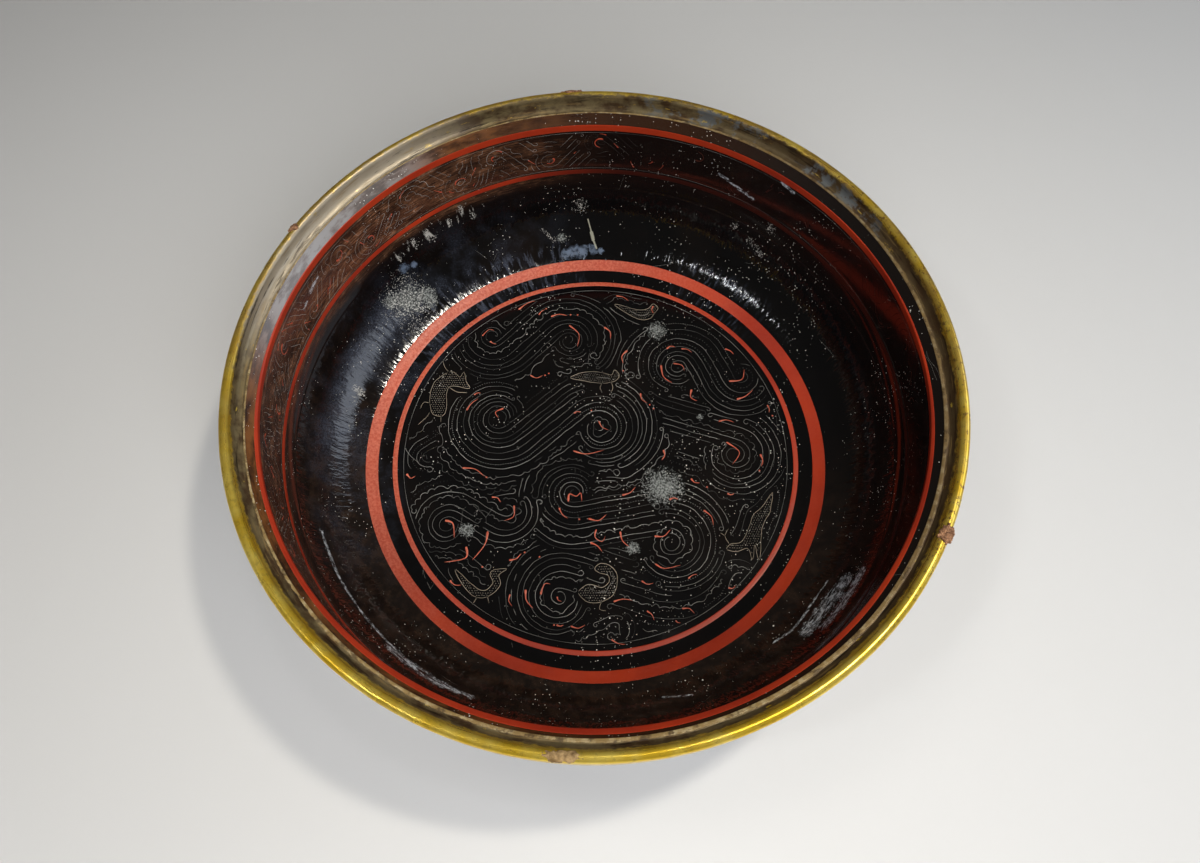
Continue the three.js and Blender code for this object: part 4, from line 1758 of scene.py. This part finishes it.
print("marks of wear:", {kind: len(marks) for kind, marks in MARKS.items()})

# %% [markdown]
# The visible coats come after the marks, because the marks are part of the inside's finish.

# %% The skins
skin_inside = black_lacquer("black_lacquer_inside", MARKS)
skin_outside = black_lacquer("black_lacquer_outside")
inside_piece = inside_skin()
calm_gloss(inside_piece)
dressed(inside_piece, skin_inside, "black_lacquer", "lacquer_inside")
turned("lacquer_skin_outside", between(outside_coat, 0, LACQUER), skin_outside, "black_lacquer",
       "lacquer_outside")
turned("lacquer_skin_base", between(base_coat, 0, LACQUER), skin_outside, "black_lacquer", "lacquer_base")

# %% [markdown]
# ## Red lines
#
# The painter held a full brush to the turning bowl, so a line is level, thin at its edges and full in its
# middle. Each is spun from a shallow outline on the surface under it. Only the upper line wanders: in front
# it runs up onto the lip's slope, so its points are slid up after the spin.

# %% Red lines
OUTSIDE_LINE = 2.5 * MM
UPPER_SLIDE = 2.9 * MM


def painted_line(name, surface, start, end, node, paint, steps=8):
    """A line of paint on a stretch of a surface, with thin edges and a full middle."""
    places = spread(start, end, steps)
    shares = [min(step, steps - step) for step in range(steps + 1)]
    face = [surface(place, -PAINT * min(1, 0.35 + 0.65 * share)) for place, share in zip(places, shares)]
    back = [surface(place, 0.02 * MM) for place in reversed(places)]
    return turned(name, face + back, paint, "red_lacquer", node)


red_paint = red_lacquer("red_lacquer_lines")
faded_paint = red_lacquer("red_lacquer_faded", faded=(20, 62, 96))
# The floor's lines turn salmon on the far left, with dust and a painted sheen.
dust_and_sheen_paint = red_lacquer("red_lacquer_dust_and_sheen", far_left_dust_and_sheen=0.7)


def outside_wall(height, depth=0.0):
    """The wall's outside."""
    return wall(height, SHELL - depth)


def slid_up(piece):
    """Move a line on the wall up in front, past the wall's top onto the slope."""
    slope = Vector((INNER_EDGE_RADIUS, INNER_EDGE_LEVEL)) - Vector(wall(WALL_TOP))
    slope.normalize()
    for vertex in piece.data.vertices:
        radius, angle = vertex.co.xy.length, math.atan2(vertex.co.y, vertex.co.x)
        depth = radius - wall(vertex.co.z)[0]
        place = vertex.co.z + UPPER_SLIDE * (0.5 - 0.5 * math.sin(angle)) ** 1.5
        if place > WALL_TOP:
            flat = Vector(wall(WALL_TOP)) + slope * (place - WALL_TOP)
            flat += Vector((slope.y, -slope.x)) * depth
        else:
            flat = Vector(wall(place, depth))
        vertex.co = round_axis(flat.x, angle, flat.y)


painted_line("painted_line_floor_thin", belly, 0, THIN_OUTER, "red_line_floor_thin", dust_and_sheen_paint)
painted_line("painted_line_floor_broad", belly, BROAD_INNER, BROAD_OUTER, "red_line_floor_broad", dust_and_sheen_paint)
painted_line("painted_line_wall_lower", belly, LOWER_BOTTOM, LOWER_TOP, "red_line_wall_lower", faded_paint)
upper_line = painted_line("painted_line_wall_upper", wall, UPPER_FOOT, WALL_TOP, "red_line_wall_upper",
                          red_paint, 16)
slid_up(upper_line)
upper_outside = OUTSIDE_WALL_TOP - 1.5 * MM
lower_outside = WALL_FOOT + 1.5 * MM
painted_line("painted_line_outside_upper", outside_wall, upper_outside - OUTSIDE_LINE, upper_outside,
             "red_line_outside_upper", red_paint)
painted_line("painted_line_outside_lower", outside_wall, lower_outside, lower_outside + OUTSIDE_LINE,
             "red_line_outside_lower", red_paint)

# %% [markdown]
# ## Strokes of red paint
#
# Beside the needle lines the painter set short strokes of red lacquer, like commas: a full head, a thin
# tail, and often a dot or two. Each is a low ridge of paint that stands on the lacquer.

# %% Strokes of red paint
STROKE_HALF = 0.52
STROKE_RISE = 0.09
STROKE_SUNK = 0.03
BLOB_STEPS = 10
FLOOR_STROKES = (
    ((-55, 61), (-52, 64.5), (-49.5, 64)), ((-51, 58), (-48, 56.5)), ((-38, 76), (-34, 79.5), (-30, 81)),
    ((-28, 73), (-25, 76)), ((-22, 72), (-14, 72.5)), ((-13, 67), (-8.3, 62), (-9, 55)), ((4, 66), (7, 59.5)),
    ((-60, 21), (-58, 24.5), (-55, 27)), ((-57, 29), (-54, 30)), ((-43, 22), (-46.5, 20), (-45, 17)),
    ((-31, 39.5), (-25, 39.5)), ((1.5, 15.5), (3, 12.5), (6, 11)), ((-10, 19.5), (-7, 20)),
    ((-10, 0.5), (-4, -1), (4, 1)), ((-60, -8), (-50, -12)), ((-85, -11), (-83, -13), (-81, -12)),
    ((10, 84), (16, 81)), ((28, 78), (28, 74)), ((34, 54), (38, 55)), ((41, 54), (46, 52)),
    ((15, 53), (13, 46)), ((37, 46), (41, 45), (42, 42)), ((31, 45), (32, 39), (36, 35.5)),
    ((45, 32), (44.5, 28), (47.5, 26)),
    ((21, 30), (24, 25)), ((66, 27), (70, 28.5), (74, 32)), ((63, 36.5), (69, 37.5), (70.5, 43)),
    ((62, 54), (66, 51)), ((80, 24), (80.5, 20)), ((57, 15.5), (64, 15)), ((60, 5), (65.5, 0), (62, -6)),
    ((31, 1), (30, -4)), ((-66, -33), (-62.5, -34.5), (-61.5, -41)), ((-56, -45), (-56, -50), (-65, -52)),
    ((-47, -38), (-48, -44), (-53, -51)), ((-46, -22), (-42, -24.5)), ((-36, -26), (-36, -31), (-40, -33)),
    ((-62, -60), (-57, -62)), ((-12, -24), (-11.5, -20.5), (-8.5, -21.5), (-6.5, -20), (-6, -24)),
    ((-16, -27), (-12, -32)), ((-3, -32), (5, -30)), ((-36, -66), (-35, -71)), ((-29.5, -64), (-26, -72)),
    ((-23, -66), (-21.5, -61.5), (-19, -61.5)), ((-16, -67), (-14, -69)), ((-37, -51), (-32, -48)),
    ((-16, -79), (-13, -79)), ((-10, -79.5), (-4, -79)), ((-2, -43), (3, -47)),
    ((0.5, -37), (0, -40.5), (3, -42.5), (4.5, -40)), ((12, -21), (18, -17)), ((33, -23), (37, -23)),
    ((48, -28), (52, -35)), ((26, -40), (30, -40), (33, -37)), ((26, -52.5), (30, -54.5), (37, -53)),
    ((11, -38), (15, -45)), ((20, -60), (25, -61)), ((40, -59), (44, -57)), ((43, -13), (47, -15)),
    ((59, -20), (62, -20)), ((75, -1), (75, -7)), ((57, -63), (60, -62)), ((8, -69), (16, -68.5)),
    ((22, -73), (25, -77)), ((7, -85), (13, -87)), ((37, -72), (42, -74)), ((34, -77), (36, -78)),
)
FLOOR_BLOBS = (
    (-24.5, 76.5), (-12.5, 73), (-9, 73), (-24, 39.5), (-22.3, 40.5), (-2, 21), (-49, -12.5), (13, 42),
    (25.2, 24), (27, 22), (82, 18.5), (-48.5, -54), (-30.5, -47.5), (-24, -49.5), (50, -17), (74, -9),
    (-17, -79), (-7, -32.3),
)


class Paint:
    """Raised strokes and blobs as one mesh."""

    def __init__(self, place):
        self.place = place
        self.points = []
        self.faces = []

    def put(self, x, y, rise):
        """One point of the paint, at a height over the lacquer."""
        self.points.append(self.place(Vector((x, y)), -rise))
        return len(self.points) - 1

    def stroke(self, points, half=STROKE_HALF):
        """A comma of paint: a round full head that draws out into a thin tail."""
        line = through(points, step=0.4)
        last = len(line) - 1
        rows = []
        for number, (x, y) in enumerate(line):
            before, after = line[max(number - 1, 0)], line[min(number + 1, last)]
            across = across_line(before, after)
            share = number / last
            head = 0.36 + 0.64 * math.exp(-(share / 0.26) ** 2)
            full = head * min(1, share * 7 + 0.3) ** 0.5 * min(1, (1 - share) * 4 + 0.15)
            width = half * full
            rows.append([self.put(x + across[0] * width * out, y + across[1] * width * out, rise)
                         for out, rise in ((1, -STROKE_SUNK), (0.6, STROKE_RISE * full),
                                           (-0.6, STROKE_RISE * full), (-1, -STROKE_SUNK))])
        self.faces += [rows[0][::-1], rows[-1]]
        for row, other in zip(rows, rows[1:]):
            self.faces += [(row[k], row[(k + 1) % 4], other[(k + 1) % 4], other[k]) for k in range(4)]

    def blob(self, x, y, radius=0.42):
        """A drop of paint."""
        rings = []
        for share, rise in ((1, -STROKE_SUNK), (0.7, 0.8 * STROKE_RISE)):
            rings.append([self.put(*point_at((x, y), radius * share, math.tau * step / BLOB_STEPS), rise)
                          for step in range(BLOB_STEPS)])
        top = self.put(x, y, STROKE_RISE)
        self.faces.append(rings[0][::-1])
        for step in range(BLOB_STEPS):
            after = (step + 1) % BLOB_STEPS
            self.faces.append((rings[0][step], rings[0][after], rings[1][after], rings[1][step]))
            self.faces.append((rings[1][step], rings[1][after], top))

    def piece(self, name, material):
        """All the paint as one finished piece."""
        made = bpy.data.meshes.new(name)
        made.from_pydata(self.points, [], self.faces)
        painted = bpy.data.objects.new(name, made)
        bpy.context.scene.collection.objects.link(painted)
        outward(painted)
        return dressed(painted, material, "red_lacquer")


def bowed(points, chance):
    """Bend a stroke of two points away from the nearest eye, so that it follows the lines round it."""
    if len(points) > 2:
        return points
    (x1, y1), (x2, y2) = points
    middle = ((x1 + x2) / 2, (y1 + y2) / 2)
    eye = min((eye for scroll in SCROLLS for eye in scroll[:2]), key=lambda eye: math.dist(eye, middle))
    bow = chance.uniform(0.10, 0.24)
    sides = [(middle[0] - side * (y2 - y1), middle[1] + side * (x2 - x1)) for side in (bow, -bow)]
    return points[0], max(sides, key=lambda side: math.dist(eye, side)), points[1]


# The strokes' pale salmon is dust and a painted sheen of their gloss, more on the far left.
stroke_red = red_lacquer("red_lacquer_strokes", 0.1, salmon_dust_and_sheen=0.75, far_left_dust_and_sheen=0.4)
wall_red = red_lacquer("red_lacquer_wall_strokes", 0.1, salmon_dust_and_sheen=0.5, faded=(-14, 80, 108))
stroke_chance = random.Random(31)
floor_paint = Paint(floor_place)
for points in FLOOR_STROKES:
    floor_paint.stroke(bowed(points, stroke_chance), STROKE_HALF * stroke_chance.uniform(0.8, 1.2))
for blob in FLOOR_BLOBS:
    floor_paint.blob(*blob)
floor_paint.piece("painted_strokes_floor", stroke_red)


# %% [markdown]
# The frieze's strokes are left to a seeded chance: a hook at most eyes, and slices of the belts between them.

# %% Strokes on the frieze
def wall_place(point, depth):
    """From the frieze's strip to the wall."""
    angle, height = point[0] / FRIEZE_RADIUS, point[1] * MM
    return round_axis(inside_radius(height) + depth * MM, angle, height)


wall_paint = Paint(wall_place)
for first, second, hand, *_ in frieze_scrolls:
    if stroke_chance.random() < 0.8:
        hook = curl(first, stroke_chance.uniform(1.8, 3.4), stroke_chance.uniform(0, math.tau),
                    stroke_chance.uniform(0.3, 0.6), hand, 0.5)[::-1]
        wall_paint.stroke(hook[::2] + hook[-1:], stroke_chance.uniform(0.42, 0.62))
    for _ in range(3):
        offset = stroke_chance.uniform(0, 6.5)
        belt = s_curve(first, second, hand, 2.0 + offset, 10.5 - offset, 0.4, 0.4)
        length = stroke_chance.randint(4, 8)
        start = stroke_chance.randint(0, max(0, len(belt) - length))
        part = belt[start:start + length:2]
        if len(part) > 1 and all(in_frieze(point) for point in part):
            wall_paint.stroke(part[::stroke_chance.choice((-1, 1))], stroke_chance.uniform(0.3, 0.5))
wall_paint.piece("painted_strokes_frieze", wall_red)

# %% [markdown]
# ## Bronze channel
#
# The channel is turned like the rest and then worked by hand, as hammering and wear did: a proud border along
# its inner edge that is broad in front and thin behind, and small dents. Each point is moved along the
# outline's own normal. Attributes tell the finish where the border is, and how far across a point lies.

# %% Bronze channel
BEAD_STEPS = 20
LIP_STEPS = 30
CHANNEL_STEPS = 720
BORDER_RISE = 0.45 * MM
BORDER_SHARE = (0.07, 0.26)
BORDER_BROADEST = math.radians(-50)


def channel_face():
    """The channel's visible outline: lip, bead and outer flange."""
    inner = [lip(share) for share in spread(0, 1, LIP_STEPS)[:-1]]
    return inner + [bead(angle) for angle in spread(math.pi, -math.acos(0.8), BEAD_STEPS)] + [
        (FLANGE_RADIUS, FLANGE_FOOT)]


def worked(piece):
    """Give the turned channel its border and dents."""
    edge = Vector((INNER_EDGE_RADIUS, INNER_EDGE_LEVEL))
    run = Vector((BEAD_CENTRE - BEAD_RADIUS, BEAD_LEVEL)) - edge
    along = run.normalized()
    inward = Vector((run.y, -run.x)).normalized()
    borders, across = [], []
    for vertex in piece.data.vertices:
        point = vertex.co.copy()
        flat = Vector((math.hypot(point.x, point.y), point.z))
        angle = math.atan2(point.y, point.x)
        share = (flat - edge).dot(along) / run.length
        depth = (flat - edge).dot(inward) - HOLLOW_DEPTH * math.sin(math.pi * min(1, max(0, share)))
        from_bead = flat - Vector((BEAD_CENTRE, BEAD_LEVEL))
        on_lip = share < 0.999 and depth < CHANNEL_SHEET * 0.5
        on_bead = abs(from_bead.length - BEAD_RADIUS) < 0.05 * MM and not on_lip
        border, rise = 0.0, 0.0
        if on_lip:
            broad = 0.5 + 0.5 * math.cos(angle - BORDER_BROADEST)
            width = BORDER_SHARE[0] + (BORDER_SHARE[1] - BORDER_SHARE[0]) * broad
            width += 0.04 * hills.noise(point * 130) + 0.04 * hills.noise(point * 600)
            border = 1 - eased_step(share, width - 0.05, width + 0.06)
            rough = 0.10 * hills.noise(point * 90) + 0.05 * hills.noise(point * 420)
            rise = (BORDER_RISE * border * eased_step(share, -0.02, 0.05)
                    + rough * MM * eased_step(share, 0, 0.1) * (1 - eased_step(share, 0.9, 1)))
        elif on_bead:
            rise = 0.05 * hills.noise(point * 160) * MM
        borders.append(border)
        if on_lip:
            across.append(share)
        else:
            across.append(1 + (math.pi - math.atan2(from_bead.y, from_bead.x)) / math.pi if on_bead else 2.0)
        moved = flat + (-inward if on_lip else from_bead.normalized()) * rise
        vertex.co = round_axis(moved.x, angle, moved.y)
    for label, values in (("border", borders), ("across", across)):
        piece.data.attributes.new(label, "FLOAT", "POINT").data.foreach_set("value", values)


channel_outline = channel_face() + channel_hollow(CHANNEL_SHEET)[::-1]
channel = turned("bronze_channel", channel_outline, gilt_bronze("gilt_bronze_rim"), "gilt_bronze",
                 "rim_channel", CHANNEL_STEPS, math.radians(60))
worked(channel)

# %% [markdown]
# ## Crusts on the bead
#
# Four lumps stand on the bead: a tan chip of old paste in front and red-brown corrosion in three places. Each
# is a grid that is bent round the bead, raised by noise inside a ragged outline, sunk outside it, and then
# given a body by Solidify.

# %% Crusts on the bead
CRUSTS = (
    ("crust_front", 266, 88, 6.2, 2.2, 0.28, tan_crust),
    ("crust_right", -28, 70, 3.6, 2.6, 1.00, rust_crust),
    ("crust_left", 152, 62, 2.4, 1.8, 0.60, rust_crust),
    ("crust_back", 94.5, 48, 4.2, 1.5, 0.55, rust_crust),
)
CRUST_STEPS = 72
CRUST_MARGIN = 1.4
CRUST_BODY = 0.4 * MM


def crust(name, degrees, bead_degrees, long, wide, high, material):
    """A lump at a direction from the axis and a direction round the bead. Its sizes are in mm."""
    bpy.ops.object.select_all(action="DESELECT")
    bpy.ops.mesh.primitive_grid_add(x_subdivisions=CRUST_STEPS, y_subdivisions=CRUST_STEPS, size=2)
    made = bpy.context.active_object
    made.name = name
    made.data.name = name
    for vertex in made.data.vertices:
        x, y = vertex.co.x * CRUST_MARGIN, vertex.co.y * CRUST_MARGIN
        here = Vector((x * long, y * wide, degrees))
        reach = math.hypot(x, y) + 0.45 * hills.noise(here * 0.45) + 0.3 * hills.noise(here * 1.3)
        grain = 0.5 * hills.noise(here * 1.2) + 0.45 * hills.noise(here * 2.9)
        rise = high * eased_step(1 - reach, -0.04, 0.25) * (1 + grain) - 0.3 * eased_step(reach, 0.94, 1.06)
        round_bead = math.radians(bead_degrees) + y * wide * MM / BEAD_RADIUS
        angle = math.radians(degrees) + x * long * MM / BEAD_CENTRE
        away, height = point_at((BEAD_CENTRE, BEAD_LEVEL), BEAD_RADIUS + rise * MM, round_bead)
        vertex.co = round_axis(away, angle, height)
    body = made.modifiers.new("body", "SOLIDIFY")
    body.thickness = CRUST_BODY
    body.offset = -1
    bpy.ops.object.modifier_apply(modifier="body")
    outward(made)
    return dressed(made, material, "gilt_bronze")


for one in CRUSTS:
    crust(*one)

# %% [markdown]
# ## Table
#
# A plain pale table that runs far past the picture. It is stage, and not part of the basin.

# %% Table
TABLE_SIZE = 6.0
bpy.ops.object.select_all(action="DESELECT")
bpy.ops.mesh.primitive_plane_add(size=TABLE_SIZE, location=(0, 0, 0))
table = bpy.context.active_object
table.name = "table"
table.data.materials.append(finish("table_finish", rgb(0.575, 0.57, 0.555), 0.7)[0])
print("table edge in metres:", TABLE_SIZE)
